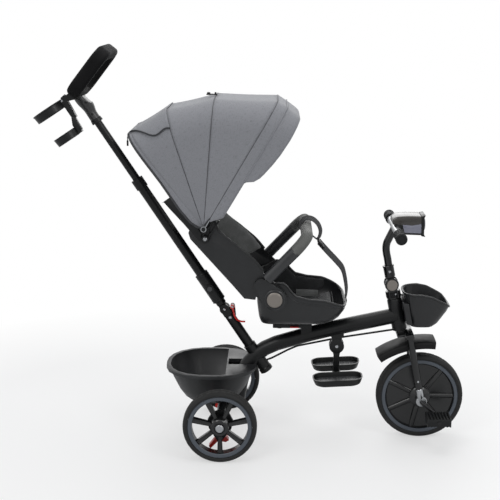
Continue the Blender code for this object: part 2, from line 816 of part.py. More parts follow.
wall_x = REAR_BASKET_FRONT_WALL
slot_half = MAIN_TUBE_RADIUS + 0.003
behind = box((0.30, 0.40, 0.40), side(wall_x - 0.15, 0.20))
node(
    "rear_basket",
    BLACK_PLASTIC,
    frame,
    loft(bowl()),
    removed=(
        trimmed(loft(bowl(BASKET_WALL, above=0.02)), behind),
        box((0.20, 2 * slot_half, 0.30), side(wall_x + 0.004 + 0.10, 0.20)),
        trimmed(
            loft(bowl(BASKET_WALL, below=0.02)),
            box((0.30, 0.40, 0.30), side(wall_x + 0.004 + 0.15, REAR_BASKET_TOP - 0.012 - 0.15)),
        ),
    ),
)

# Front wheel: foam tyre, closed disc and hub on the crank's axle
node(
    "front_tyre",
    TYRE_FOAM,
    front_wheel,
    turned(
        tyre_profile(FRONT_WHEEL_RADIUS, FRONT_TYRE_DEPTH, FRONT_TYRE_WIDTH), FRONT_AXLE, ACROSS, WHEEL_STEPS
    ),
)
hub_half = FRONT_HUB_WIDTH / 2
disc_half = FRONT_DISC_THICKNESS / 2
rim_half = FRONT_TYRE_WIDTH / 2 * 0.84
node(
    "front_rim",
    BLUE_GREY,
    front_wheel,
    turned(
        (
            (0.016, hub_half),
            (FRONT_HUB_RADIUS, hub_half - 0.018),
            (FRONT_HUB_RADIUS, disc_half + 0.004),
            (FRONT_HUB_RADIUS + 0.006, disc_half),
            (front_rim_outer - 0.012, disc_half),
            (front_rim_outer - 0.009, rim_half),
            (front_rim_outer, rim_half),
            (front_rim_outer, -rim_half),
            (front_rim_outer - 0.009, -rim_half),
            (front_rim_outer - 0.012, -disc_half),
            (FRONT_HUB_RADIUS + 0.006, -disc_half),
            (FRONT_HUB_RADIUS, -disc_half - 0.004),
            (FRONT_HUB_RADIUS, -hub_half + 0.018),
            (0.016, -hub_half),
            (CRANK_RADIUS + FIT, -hub_half),
            (CRANK_RADIUS + FIT, hub_half),
        ),
        FRONT_AXLE,
        ACROSS,
        WHEEL_STEPS,
    ),
)

# Crank: one bent rod, axle, two arms and two pedal spindles
crank_points = []
for hand in (-1, 1):
    tip = Vector((cos(CRANK_ANGLE), 0, sin(CRANK_ANGLE))) * CRANK_LENGTH * -hand
    outer_y = PEDAL_INNER_Y + PEDAL_SIZE[1] + 0.002
    leg = [
        FRONT_AXLE + tip + ACROSS * hand * outer_y,
        FRONT_AXLE + tip + ACROSS * hand * (CRANK_ARM_Y + 0.003),
        FRONT_AXLE + tip * 0.9 + ACROSS * hand * CRANK_ARM_Y,
        FRONT_AXLE + tip * 0.1 + ACROSS * hand * CRANK_ARM_Y,
        FRONT_AXLE + ACROSS * hand * (CRANK_ARM_Y - 0.005),
    ]
    crank_points += leg if hand == -1 else leg[::-1]
    pedal_origin = FRONT_AXLE + tip + ACROSS * hand * (PEDAL_INNER_Y + PEDAL_SIZE[1] / 2)
    side_name = "left" if hand == 1 else "right"
    node(
        f"pedal_{side_name}",
        BLACK_PLASTIC,
        body(f"pedal_{side_name}_body", pedal_origin, crank_body),
        box(PEDAL_SIZE, pedal_origin, 0.006),
        removed=(
            rod(
                pedal_origin - ACROSS * PEDAL_SIZE[1],
                pedal_origin + ACROSS * PEDAL_SIZE[1],
                CRANK_RADIUS + FIT,
                sides=16,
            ),
        ),
    )
node("crank", STEEL_PAINT, crank_body, pipe(crank_points, CRANK_RADIUS, sides=12, smooth=False))

# Fork: steerer, crown, two straight legs with forged eyes, the steering arm and the folding yoke
arm_top = CROWN_BOTTOM + STEERING_ARM_THICKNESS
crown_back = 0.0095
cheek_inner = STEM_TONGUE_HALF + FIT
cheek_outer = cheek_inner + STEM_CHEEK_THICKNESS
yoke_bottom = HEAD_TOP + FIT + BUSH_FLANGE + FIT
fork_shapes = [
    rod(on_steering(CROWN_BOTTOM), on_steering(yoke_bottom + 0.004), STEERER_RADIUS),
    rod(on_steering(yoke_bottom), on_steering(STEM_AXIS - STEM_CHEEK_RADIUS), YOKE_COLLAR_RADIUS),
    box(
        (0.024, 2 * (LINK_ARM + 0.008), STEERING_ARM_THICKNESS),
        leaning(on_steering(CROWN_BOTTOM + STEERING_ARM_THICKNESS / 2), HEAD_TILT),
        0.002,
    ),
    box(
        (crown_back + 0.008, 0.025, CROWN_THICKNESS),
        leaning(on_steering(CROWN_BOTTOM + CROWN_THICKNESS / 2, crown_back / 2), HEAD_TILT),
    ),
    rod(on_steering(FENDER_RADIUS + FIT, FORK_OFFSET), on_steering(CROWN_TOP - 0.004, FORK_OFFSET), 0.009),
    rod(
        on_steering(STEM_AXIS, 0, 0.002),
        on_steering(STEM_AXIS, 0, cheek_outer - 0.001),
        STEM_PIN_RADIUS,
        sides=12,
    ),
    turned(
        (
            (STEM_CHEEK_RADIUS - 0.001, cheek_outer + 0.0045),
            (STEM_CHEEK_RADIUS - 0.001, cheek_outer - 0.001),
            (STEM_BUTTON_RADIUS + FIT, cheek_outer - 0.001),
            (STEM_BUTTON_RADIUS + FIT, cheek_outer + 0.0045),
        ),
        on_steering(STEM_AXIS),
        -ACROSS,
        24,
    ),
]
for hand in (-1, 1):
    y = hand * FORK_HALF_SPAN
    cheek_low, cheek_high = sorted((hand * cheek_inner, hand * cheek_outer))
    fork_shapes += [
        rod(
            on_steering(CROWN_BOTTOM + 0.004, FORK_OFFSET, y),
            on_steering(0.018, FORK_OFFSET, y),
            FORK_LEG_RADIUS,
            sides=16,
        ),
        rod(
            FRONT_AXLE + ACROSS * (y - EYE_THICKNESS / 2),
            FRONT_AXLE + ACROSS * (y + EYE_THICKNESS / 2),
            EYE_RADIUS,
        ),
        box((0.022, EYE_THICKNESS, 0.030), leaning(on_steering(0.015, FORK_OFFSET, y), HEAD_TILT)),
        rod(
            on_steering(STEM_AXIS, 0, cheek_low),
            on_steering(STEM_AXIS, 0, cheek_high),
            STEM_CHEEK_RADIUS,
        ),
        box(
            (0.026, STEM_CHEEK_THICKNESS, STEM_AXIS - yoke_bottom - 0.001),
            leaning(
                on_steering((STEM_AXIS + yoke_bottom + 0.001) / 2, 0, (cheek_low + cheek_high) / 2),
                HEAD_TILT,
            ),
        ),
    ]
node(
    "fork",
    STEEL_PAINT,
    fork_body,
    box(
        (CROWN_FRONT - crown_back, 2 * (FORK_HALF_SPAN + FORK_LEG_RADIUS), CROWN_THICKNESS),
        leaning(
            on_steering(CROWN_BOTTOM + CROWN_THICKNESS / 2, (CROWN_FRONT + crown_back) / 2), HEAD_TILT
        ),
        0.004,
    ),
    joined=fork_shapes,
    removed=(
        rod(FRONT_AXLE - ACROSS * 0.10, FRONT_AXLE + ACROSS * 0.10, CRANK_RADIUS + FIT, sides=16),
        rod(
            on_steering(STEM_AXIS, 0, -cheek_outer - OVER),
            on_steering(STEM_AXIS, 0, -cheek_inner + OVER),
            STEM_PIN_RADIUS + FIT,
            sides=12,
        ),
    ),
)

# Front fender: an arched plastic strip with turned-down edges
bm = bmesh.new()
edge = [
    bm.verts.new((radius * cos(FENDER_FRONT_ANGLE), y, radius * sin(FENDER_FRONT_ANGLE)))
    for y, radius in (
        (-FENDER_HALF_WIDTH, FENDER_RADIUS - FENDER_SKIRT),
        (-FENDER_HALF_WIDTH * 0.90, FENDER_RADIUS - 0.004),
        (-FENDER_HALF_WIDTH * 0.60, FENDER_RADIUS - 0.0005),
        (FENDER_HALF_WIDTH * 0.60, FENDER_RADIUS - 0.0005),
        (FENDER_HALF_WIDTH * 0.90, FENDER_RADIUS - 0.004),
        (FENDER_HALF_WIDTH, FENDER_RADIUS - FENDER_SKIRT),
    )
]
strip = [bm.edges.new(pair) for pair in zip(edge, edge[1:])]
bmesh.ops.spin(
    bm,
    geom=edge + strip,
    cent=(0, 0, 0),
    axis=(0, -1, 0),
    angle=FENDER_REAR_ANGLE - FENDER_FRONT_ANGLE,
    steps=12,
)
fender = from_bmesh(bm, Matrix.Translation(FRONT_AXLE))
wall = fender.modifiers.new("wall", "SOLIDIFY")
wall.thickness = FENDER_WALL
wall.offset = -1
node("front_fender", BLACK_PLASTIC, fork_body, fender)

# Front basket: a tapered tub whose front lip dips, on a boss that meets the head tube cover
basket_rings = []
basket_hollow = []
for rise, share in ((0.0, 0.0), (0.10, 0.22), (0.45, 0.60), (1.0, 1.0)):
    x = FRONT_BASKET_FLOOR[0] + (FRONT_BASKET_RIM[0] - FRONT_BASKET_FLOOR[0]) * share
    z = FRONT_BASKET_FLOOR[1] + (FRONT_BASKET_RIM[1] - FRONT_BASKET_FLOOR[1]) * rise
    half_x, half_y = (
        low + (high - low) * share for low, high in zip(FRONT_BASKET_FLOOR_HALF, FRONT_BASKET_RIM_HALF)
    )
    basket_rings.append(oval(ahead(x, 0), half_x, half_y, z, power=3.2))
    inner_z = z + BASKET_WALL * (1 - rise) + 0.004 * rise
    basket_hollow.append(
        oval(ahead(x, 0), half_x - BASKET_WALL, half_y - BASKET_WALL, inner_z, power=3.2)
    )
rim_line = (
    (-0.120, 0.4365),
    (-0.010, 0.4395),
    (0.0186, 0.4340),
    (0.060, 0.4130),
    FRONT_BASKET_LIP,
    (0.130, 0.360),
    (0.130, 0.5),
    (-0.120, 0.5),
)
boss_z = (FRONT_BASKET_FLOOR[1] + FRONT_BASKET_RIM[1]) / 2
node(
    "front_basket",
    BLACK_PLASTIC,
    frame,
    loft(basket_rings),
    joined=(box((0.034, 0.022, 0.020), ahead(FRONT_BASKET_BOSS, boss_z)),),
    removed=(
        loft(basket_hollow),
        slab(xz(rim_line, ahead), -0.10, 0.10),
        rod(on_steering(HEAD_BOTTOM), on_steering(HEAD_TOP), cover_radius + FIT, sides=24),
    ),
)

# Folding stem: a tongue between the yoke's cheeks, a clamp sleeve and the swan-neck tube
handlebar_centre = on_steering(STEM_AXIS + HANDLEBAR[0], HANDLEBAR[1])
stem_points = [on_steering(STEM_AXIS + 0.030)]
stem_points += [on_steering(STEM_AXIS + up, forward) for up, forward in STEM_PATH]
stem_points.append(handlebar_centre)
tongue_radius = STEM_CHEEK_RADIUS - 0.002
sleeve_bottom = STEM_CHEEK_RADIUS + 0.0015
node(
    "stem",
    STEEL_PAINT,
    stem_body,
    rod(
        on_steering(STEM_AXIS, 0, -STEM_TONGUE_HALF),
        on_steering(STEM_AXIS, 0, STEM_TONGUE_HALF),
        tongue_radius,
    ),
    joined=(
        box(
            (0.022, 2 * STEM_TONGUE_HALF, sleeve_bottom + 0.004),
            leaning(on_steering(STEM_AXIS + (sleeve_bottom + 0.004) / 2), HEAD_TILT),
        ),
        rod(
            on_steering(STEM_AXIS + sleeve_bottom),
            on_steering(STEM_AXIS + STEM_SLEEVE_TOP),
            STEM_SLEEVE_RADIUS,
        ),
        pipe(stem_points, STEM_TUBE_RADIUS, sides=14, detail=3),
    ),
    removed=(
        rod(
            on_steering(STEM_AXIS, 0, -STEM_TONGUE_HALF - OVER),
            on_steering(STEM_AXIS, 0, STEM_TONGUE_HALF + OVER),
            STEM_PIN_RADIUS + FIT,
            sides=12,
        ),
        rod(handlebar_centre - ACROSS * 0.05, handlebar_centre + ACROSS * 0.05, HANDLEBAR_RADIUS + FIT),
    ),
)
button_face = cheek_outer + 0.0045 + 0.0035
node(
    "stem_button",
    BRIGHT_STEEL,
    stem_button_body,
    turned(
        (
            (0, button_face),
            (STEM_BUTTON_RADIUS - 0.001, button_face),
            (STEM_BUTTON_RADIUS, button_face - 0.001),
            (STEM_BUTTON_RADIUS, cheek_outer + STEM_BUTTON_TRAVEL + FIT),
            (STEM_PIN_RADIUS, cheek_outer + STEM_BUTTON_TRAVEL + FIT),
            (STEM_PIN_RADIUS, cheek_inner),
            (0, cheek_inner),
        ),
        on_steering(STEM_AXIS),
        -ACROSS,
        24,
    ),
)

# Handlebar, grips and the sound box with its lamp
grip_start = HANDLEBAR_HALF - GRIP_LENGTH
node(
    "handlebar",
    GREY_PLASTIC,
    stem_body,
    rod(
        handlebar_centre - ACROSS * (HANDLEBAR_HALF - 0.004),
        handlebar_centre + ACROSS * (HANDLEBAR_HALF - 0.004),
        HANDLEBAR_RADIUS,
    ),
)
for name, hand in (("left", 1), ("right", -1)):
    node(
        f"grip_{name}",
        BLACK_PLASTIC,
        stem_body,
        turned(
            (
                (0, HANDLEBAR_HALF),
                (GRIP_RADIUS - 0.003, HANDLEBAR_HALF),
                (GRIP_RADIUS, HANDLEBAR_HALF - 0.003),
                (GRIP_RADIUS, HANDLEBAR_HALF - 0.014),
                (GRIP_RADIUS - 0.0015, HANDLEBAR_HALF - 0.017),
                (GRIP_RADIUS - 0.0015, grip_start + 0.006),
                (GRIP_RADIUS, grip_start + 0.004),
                (GRIP_RADIUS, grip_start),
                (HANDLEBAR_RADIUS + FIT, grip_start),
                (HANDLEBAR_RADIUS + FIT, HANDLEBAR_HALF - 0.004 + FIT),
                (0, HANDLEBAR_HALF - 0.004 + FIT),
            ),
            handlebar_centre,
            ACROSS * hand,
            24,
        ),
    )
lamp_corners = [(handlebar_centre.x + x, handlebar_centre.z + z) for x, z in LAMP_OUTLINE]
node(
    "lamp_housing",
    BLACK_PLASTIC,
    stem_body,
    slab(lamp_corners, -LAMP_HALF_WIDTH, LAMP_HALF_WIDTH, 0.005),
    removed=(
        rod(handlebar_centre - ACROSS * 0.05, handlebar_centre + ACROSS * 0.05, HANDLEBAR_RADIUS + FIT),
        pipe(stem_points, STEM_TUBE_RADIUS + FIT, sides=14, detail=3),
    ),
)

# Link rod under the main tube, from beside the pole's foot to the fork's steering arm
link_eye = LINK_ROD_RADIUS + 0.0006
link_end = on_steering(arm_top + FIT + link_eye, 0, LINK_ARM)
link_start = on_pole(-0.038, 0.006, LINK_ARM)
link_points = [
    link_start,
    side(0.142, 0.2255, LINK_ARM),
    side(0.190, 0.2515, LINK_ARM),
    side(0.215, 0.2625, LINK_ARM),
    side(0.335, 0.2885, LINK_ARM),
    link_end,
]
node(
    "link_rod",
    STEEL_PAINT,
    link_body,
    pipe(link_points, LINK_ROD_RADIUS, sides=8, smooth=False),
    joined=(
        rod(link_end - STEER_UP * link_eye, link_end + STEER_UP * link_eye, 2 * LINK_ROD_RADIUS),
        rod(link_start - ACROSS * link_eye, link_start + ACROSS * link_eye, 2 * LINK_ROD_RADIUS),
    ),
)

# Lower pole: it turns in the socket, with a ribbed foot below and the fold hinge's clevis above
clevis_bottom = FOLD_PIN - FOLD_CLEARANCE
clevis_inner = FOLD_TONGUE_HALF + FIT
clevis_outer = POLE_RADIUS - 0.0005
pin_radius = 0.004
lug_low = on_pole(clevis_bottom - 0.012, 0.010)
lug_high = side(*LEVER_PIVOT)
lug = link_outline((lug_low.x, lug_low.z), 0.008, (lug_high.x, lug_high.z), 0.0065)
lower_shapes = [
    turned(
        (
            (POLE_SOCKET_RADIUS, POLE_SOCKET_BOTTOM - FIT),
            (POLE_SOCKET_RADIUS, POLE_FOOT + 0.014),
            (POLE_SOCKET_RADIUS + 0.0015, POLE_FOOT + 0.012),
            (POLE_SOCKET_RADIUS + 0.0015, POLE_FOOT + 0.002),
            (POLE_SOCKET_RADIUS - 0.002, POLE_FOOT),
            (POLE_RADIUS - 0.003, POLE_FOOT),
            (POLE_RADIUS - 0.003, POLE_SOCKET_BOTTOM - FIT),
        ),
        on_pole(0),
        POLE_UP,
        24,
    ),
    slab(lug, -LUG_HALF, LUG_HALF),
    rod(
        on_pole(FOLD_PIN, 0, -clevis_outer + 0.001),
        on_pole(FOLD_PIN, 0, clevis_outer - 0.001),
        pin_radius,
        sides=12,
    ),
]
for hand in (-1, 1):
    low, high = sorted((hand * clevis_inner, hand * clevis_outer))
    lower_shapes += [
        rod(on_pole(FOLD_PIN, 0, low), on_pole(FOLD_PIN, 0, high), FOLD_CHEEK_RADIUS),
        box(
            (2 * FOLD_CHEEK_RADIUS - 0.004, high - low, FOLD_CLEARANCE + 0.003),
            leaning(on_pole(FOLD_PIN - (FOLD_CLEARANCE + 0.003) / 2, 0, (low + high) / 2), POLE_TILT),
        ),
    ]
node(
    "lower_pole",
    STEEL_PAINT,
    lower_pole_body,
    rod(on_pole(POLE_FOOT + 0.003), on_pole(clevis_bottom), POLE_RADIUS),
    joined=lower_shapes,
    removed=(
        rod(lug_high - ACROSS * 0.01, lug_high + ACROSS * 0.01, LEVER_PIN_RADIUS + FIT, sides=12),
    ),
)

# Red quick-release lever of the fold hinge
lever_wire = 0.0026
lever_inner = POLE_RADIUS + FIT
lever_y = -lever_inner - lever_wire
lever_path = [
    lug_high + Vector((x, lever_y, z))
    for x, z in ((0, 0), (0.003, -0.0135), (0.010, -0.034), (0.0225, -0.0425), (0.0365, -0.0435))
]
node(
    "fold_lever",
    RED_PLASTIC,
    lever_body,
    pipe(lever_path, lever_wire, sides=8, detail=3),
    joined=(
        rod(lug_high - ACROSS * (lever_inner + 2 * lever_wire), lug_high - ACROSS * (LUG_HALF + FIT), 0.0060),
        rod(lug_high - ACROSS * lever_inner, lug_high + ACROSS * LUG_HALF, LEVER_PIN_RADIUS, sides=12),
    ),
)

# Outer pole: a tongue in the clevis, the tube that holds the inner pole, and its top collar
outer_bottom = FOLD_PIN + FOLD_CLEARANCE
inner_bore = INNER_POLE_RADIUS + FIT
node(
    "outer_pole",
    STEEL_PAINT,
    outer_pole_body,
    rod(on_pole(outer_bottom), on_pole(OUTER_POLE_TOP), POLE_RADIUS),
    joined=(
        rod(on_pole(OUTER_POLE_TOP - OUTER_COLLAR_LENGTH), on_pole(OUTER_POLE_TOP), POLE_RADIUS + 0.003),
        rod(
            on_pole(FOLD_PIN, 0, -FOLD_TONGUE_HALF),
            on_pole(FOLD_PIN, 0, FOLD_TONGUE_HALF),
            FOLD_CHEEK_RADIUS - 0.001,
        ),
        box(
            (2 * FOLD_CHEEK_RADIUS - 0.006, 2 * FOLD_TONGUE_HALF, FOLD_CLEARANCE + 0.003),
            leaning(on_pole(FOLD_PIN + (FOLD_CLEARANCE + 0.003) / 2), POLE_TILT),
        ),
    ),
    removed=(
        rod(on_pole(0.215), on_pole(OUTER_POLE_TOP + OVER), inner_bore),
        rod(
            on_pole(FOLD_PIN, 0, -FOLD_TONGUE_HALF - OVER),
            on_pole(FOLD_PIN, 0, FOLD_TONGUE_HALF + OVER),
            pin_radius + FIT,
            sides=12,
        ),
    ),
)
button_up = (CLAMP_BOTTOM + CLAMP_TOP) / 2
boss_face = CLAMP_RADIUS + 0.0060
button_hole = POLE_RADIUS + FIT + 0.0020
node(
    "clamp_collar",
    BLACK_PLASTIC,
    outer_pole_body,
    turned(
        (
            (CLAMP_RADIUS - 0.002, CLAMP_TOP),
            (CLAMP_RADIUS, CLAMP_TOP - 0.003),
            (CLAMP_RADIUS, CLAMP_BOTTOM + 0.003),
            (CLAMP_RADIUS - 0.002, CLAMP_BOTTOM),
            (POLE_RADIUS + FIT, CLAMP_BOTTOM),
            (POLE_RADIUS + FIT, CLAMP_TOP),
        ),
        on_pole(0),
        POLE_UP,
        24,
    ),
    joined=(
        rod(on_pole(button_up, 0, -button_hole), on_pole(button_up, 0, -boss_face), 0.0115),
    ),
    removed=(
        rod(
            on_pole(button_up, 0, -button_hole),
            on_pole(button_up, 0, -boss_face - OVER),
            CLAMP_BUTTON_RADIUS + FIT,
        ),
    ),
)
node(
    "clamp_button",
    GREY_PLASTIC,
    clamp_button_body,
    rod(
        on_pole(button_up, 0, -button_hole - CLAMP_BUTTON_TRAVEL - FIT),
        on_pole(button_up, 0, -boss_face - CLAMP_BUTTON_TRAVEL - 0.001),
        CLAMP_BUTTON_RADIUS,
    ),
)

# Inner pole, the forked neck and the padded handle loop
neck_socket = NECK_BOTTOM + 0.010
node(
    "inner_pole",
    STEEL_PAINT,
    inner_pole_body,
    rod(on_pole(INNER_POLE_BOTTOM), on_pole(neck_socket - FIT), INNER_POLE_RADIUS),
)
LOOP_ALONG = Vector((cos(HANDLE_SLOPE), 0, sin(HANDLE_SLOPE)))
LOOP_NORMAL = Vector((-sin(HANDLE_SLOPE), 0, cos(HANDLE_SLOPE)))
loop_place = Matrix.Translation(side(*HANDLE_CENTRE)) @ Matrix.Rotation(-HANDLE_SLOPE, 4, "Y")
loop_half = (HANDLE_LENGTH - HANDLE_BAR) / 2
loop_wide = (HANDLE_WIDTH - HANDLE_BAR) / 2
loop_corner = 0.050


def handle_loop(extra=0.0):
    """The loop's flattened tube, grown by extra."""
    points = []
    for index, (sx, sy) in enumerate(((1, 1), (-1, 1), (-1, -1), (1, -1))):
        centre = (sx * (loop_half - loop_corner), sy * (loop_wide - loop_corner))
        start = index * pi / 2
        points += [Vector((x, y, 0)) for x, y in arc(centre, loop_corner, start, start + pi / 2, 4)]
    radius = HANDLE_BAR / 2 + extra
    flat = Matrix.Diagonal((1, 1, (HANDLE_THICKNESS / 2 + extra) / radius, 1))
    return pipe(points, radius, sides=12, smooth=False, closed=True, place=loop_place @ flat)


node("handle_loop", HANDLE_WRAP, inner_pole_body, handle_loop())
lower_bar = side(*HANDLE_CENTRE) - LOOP_ALONG * loop_half


def neck_ring(centre, forward, half_forward, half_width, count=20):
    """A ring across the neck, round at the bottom and wide where it meets the loop."""
    return [
        centre
        + forward * half_forward * cos(2 * pi * i / count)
        + ACROSS * half_width * sin(2 * pi * i / count)
        for i in range(count)
    ]


neck_rings = [
    neck_ring(on_pole(NECK_BOTTOM), POLE_FORWARD, NECK_COLLAR_RADIUS, NECK_COLLAR_RADIUS),
    neck_ring(on_pole(NECK_BOTTOM + 0.020), POLE_FORWARD, NECK_COLLAR_RADIUS, NECK_COLLAR_RADIUS),
    neck_ring(on_pole(NECK_BOTTOM + 0.048, 0.001), POLE_FORWARD, 0.0170, 0.0190),
    neck_ring(lower_bar - LOOP_ALONG * 0.020, -LOOP_NORMAL, 0.0215, NECK_TOP_WIDTH / 2),
    neck_ring(lower_bar - LOOP_ALONG * 0.004, -LOOP_NORMAL, 0.0225, NECK_TOP_WIDTH / 2),
]
node(
    "handle_neck",
    GREY_PLASTIC,
    inner_pole_body,
    loft(neck_rings),
    removed=(
        handle_loop(FIT),
        rod(on_pole(NECK_BOTTOM - OVER), on_pole(neck_socket), inner_bore),
    ),
)

# Cup holder: a bracket clipped to the loop's lower bar, and the hinged ring and tray
hinge = side(*CUP_HINGE, CUP_Y)


def on_cup(up, out, y=0.0):
    return hinge + POLE_UP * up - POLE_FORWARD * out + ACROSS * y


def cup_corners(*points):
    return [(p.x, p.z) for p in (on_cup(*point) for point in points)]


arm_low = lower_bar - LOOP_ALONG * 0.012
bracket_half = 0.010
bracket_face = 0.0015
node(
    "cup_bracket",
    BLACK_PLASTIC,
    inner_pole_body,
    slab(
        cup_corners((0.004, bracket_face), (0.006, -0.012), (-0.062, -0.006), (-0.062, bracket_face)),
        CUP_Y - bracket_half,
        CUP_Y + bracket_half,
    ),
    joined=(
        slab(
            link_outline((arm_low.x, arm_low.z), 0.012, (hinge.x + 0.004, hinge.z - 0.002), 0.006),
            CUP_Y - bracket_half,
            CUP_Y + bracket_half,
        ),
    ),
    removed=(
        handle_loop(FIT),
        slab(
            cup_corners((0.06, bracket_face), (0.06, 0.08), (-0.08, 0.08), (-0.08, bracket_face)),
            CUP_Y - 0.05,
            CUP_Y + 0.05,
        ),
    ),
)
spine_face = bracket_face + FIT
ring_out = spine_face + CUP_RING_RADIUS + 0.001
tray_radius = CUP_RING_RADIUS - 0.010
node(
    "cup_holder",
    BLACK_PLASTIC,
    cup_body,
    turned(
        (
            (CUP_RING_RADIUS, 0),
            (CUP_RING_RADIUS - 0.002, -CUP_RING_HEIGHT),
            (CUP_RING_RADIUS - 0.002 - CUP_WALL, -CUP_RING_HEIGHT),
            (CUP_RING_RADIUS - CUP_WALL, 0),
        ),
        on_cup(0, ring_out),
        POLE_UP,
        32,
    ),
    joined=(
        turned(
            (
                (0, -CUP_DEPTH + CUP_WALL),
                (tray_radius - 0.002 - CUP_WALL, -CUP_DEPTH + CUP_WALL),
                (tray_radius - CUP_WALL, -CUP_DEPTH + 0.022),
                (tray_radius, -CUP_DEPTH + 0.022),
                (tray_radius - 0.002, -CUP_DEPTH),
                (0, -CUP_DEPTH),
            ),
            on_cup(0, ring_out),
            POLE_UP,
            32,
        ),
        slab(
            cup_corners(
                (-0.001, spine_face),
                (-0.001, spine_face + 0.0045),
                (-CUP_DEPTH + 0.012, spine_face + 0.0045),
                (-CUP_DEPTH + 0.006, spine_face + 0.0140), (-CUP_DEPTH + 0.001, spine_face + 0.0140),
                (-CUP_DEPTH + 0.001, spine_face + 0.002), (-CUP_DEPTH + 0.016, spine_face),
            ),
            CUP_Y - bracket_half,
            CUP_Y + bracket_half,
        ),
    ),
)

# Seat base: a plate on a saddle over the main tube, with the swivel bolt and a lock knob
plate_top = -0.0108
plate_middle = plate_top - BASE_PLATE_THICKNESS / 2
plate_bottom = plate_top - BASE_PLATE_THICKNESS
bolt_radius = 0.006
fat_tube = pipe(main_path, MAIN_TUBE_RADIUS + FIT, sides=16, detail=2)
lever_size = Vector((0.024, 0.034, 0.003))
lever_place = on_seat(0.005, plate_middle, -BASE_PLATE_HALF_WIDTH - 0.011 + lever_size.y / 2)
slot_size = lever_size + Vector((2 * FIT, 2 * FIT + 0.020, 2 * FIT))
node(
    "seat_base",
    BLACK_PLASTIC,
    frame,
    box((0.111, 2 * BASE_PLATE_HALF_WIDTH, BASE_PLATE_THICKNESS), on_seat(-0.0005, plate_middle), 0.002),
    joined=(
        box((0.030, 0.040, 0.040), on_seat(0.040, plate_bottom - 0.017)),
        rod(on_seat(0, plate_middle), on_seat(0, TUB_WALL), bolt_radius, sides=16),
        rod(on_seat(-0.037, plate_middle), on_seat(-0.037, plate_bottom - 0.012), 0.008, sides=16),
    ),
    removed=(
        fat_tube,
        box(slot_size, lever_place - ACROSS * 0.010),
    ),
)
node(
    "seat_lever",
    RED_PLASTIC,
    seat_lever_body,
    box(lever_size, lever_place),
)

# Seat tub: a bucket open at the top, on its swivel disc
TUB_LINE = (
    (-0.100, 0.110), (-0.101, 0.072), (-0.096, 0.027), (-0.089, 0.008), (-0.075, 0.0),
    (0.062, 0.0), (0.105, 0.014), (0.137, 0.044), (0.150, 0.067), (0.158, 0.200),
)
TUB_RIM = (
    (0.190, 0.071), (0.150, 0.067), (0.092, 0.082), (0.045, 0.094), (-0.003, 0.112), (-0.022, 0.132),
    (-0.050, 0.134), (-0.082, 0.117), (-0.130, 0.110),
)
tub_edge = 0.020
tub_outside = TUB_LINE + ((-0.100, 0.200),)
tub_inside = offset_line(TUB_LINE, TUB_WALL) + [(0.150, 0.260), (-0.100 + TUB_WALL, 0.260)]
node(
    "seat_tub",
    BLACK_PLASTIC,
    seat_body,
    slab(xz(tub_outside, on_seat), -TUB_HALF_WIDTH, TUB_HALF_WIDTH, tub_edge),
    joined=(rod(on_seat(0, plate_top + FIT), on_seat(0, 0.002), SWIVEL_RADIUS),),
    removed=(
        slab(
            xz(tub_inside, on_seat),
            -TUB_HALF_WIDTH + TUB_WALL,
            TUB_HALF_WIDTH - TUB_WALL,
            tub_edge - TUB_WALL,
        ),
        slab(xz(TUB_RIM + ((-0.130, 0.30), (0.190, 0.30)), on_seat), -0.20, 0.20),
        rod(on_seat(0, plate_top - OVER), on_seat(0, 0.010), bolt_radius + FIT, sides=16),
    ),
)
cushion_line = [
    tuple(Vector(TUB_LINE[4]).lerp(Vector(TUB_LINE[5]), 0.06)),
    TUB_LINE[5],
    TUB_LINE[6],
    tuple(Vector(TUB_LINE[6]).lerp(Vector(TUB_LINE[7]), 0.80)),
]
cushion = offset_line(cushion_line, TUB_WALL + 0.0005)
cushion += offset_line(cushion_line, TUB_WALL + CUSHION_THICKNESS)[::-1]
node(
    "seat_cushion",
    CANOPY_GREY,
    seat_body,
    slab(xz(cushion, on_seat), -CUSHION_HALF_WIDTH, CUSHION_HALF_WIDTH),
)

# Backrest: a winged shell that reclines on the tub's sides, with its pad
shell_half = TUB_HALF_WIDTH + 0.001 + BACK_WALL
mount_y = shell_half + FIT
BACK_LINE = (
    (-0.215, 0.310), (-0.276, 0.291), (-0.285, 0.274), (-0.280, 0.257),
    (-0.169, 0.132), (-0.134, 0.091), (-0.109, 0.088),
)
WING_LINE = (
    (-0.216, 0.340), (-0.205, 0.282), (-0.150, 0.234), (-0.110, 0.200),
    (-0.082, 0.167), (-0.096, 0.120), (-0.106, 0.078),
)
back_edge = 0.014
back_outside = BACK_LINE + ((0.02, 0.080), (0.02, 0.370))
back_inside = offset_line(BACK_LINE, BACK_BODY_WALL)
back_inside += [(-0.105, 0.040), (0.05, 0.040), (0.05, 0.36)]
back_inside[0] = (-0.195, 0.3105)
ears = []
for hand in (-1, 1):
    low, high = sorted((hand * (shell_half - BACK_WALL), hand * shell_half))
    ears.append(
        slab(xz(link_outline(PIVOT, PIVOT_EAR_RADIUS, (-0.118, 0.158), 0.028), on_seat), low, high)
    )
behind_wings = WING_LINE + ((-0.40, 0.078), (-0.40, 0.340))
bolt_hole = 0.003
node(
    "backrest_shell",
    BLACK_PLASTIC,
    back_body,
    trimmed(
        slab(xz(back_outside, on_seat), -shell_half, shell_half, back_edge),
        slab(xz(behind_wings, on_seat), -0.2, 0.2),
    ),
    joined=ears,
    removed=(
        slab(
            xz(back_inside, on_seat),
            -shell_half + BACK_WALL,
            shell_half - BACK_WALL,
            back_edge - BACK_WALL,
        ),
        rod(on_seat(*PIVOT, -0.2), on_seat(*PIVOT, 0.2), PIVOT_PIN_RADIUS + FIT),
        rod(side(*MOUNT_BOLT, -0.2), side(*MOUNT_BOLT, 0.2), bolt_hole + FIT, sides=12),
    ),
)
pad_top = Vector(BACK_LINE[3]).lerp(Vector(BACK_LINE[4]), 0.07)
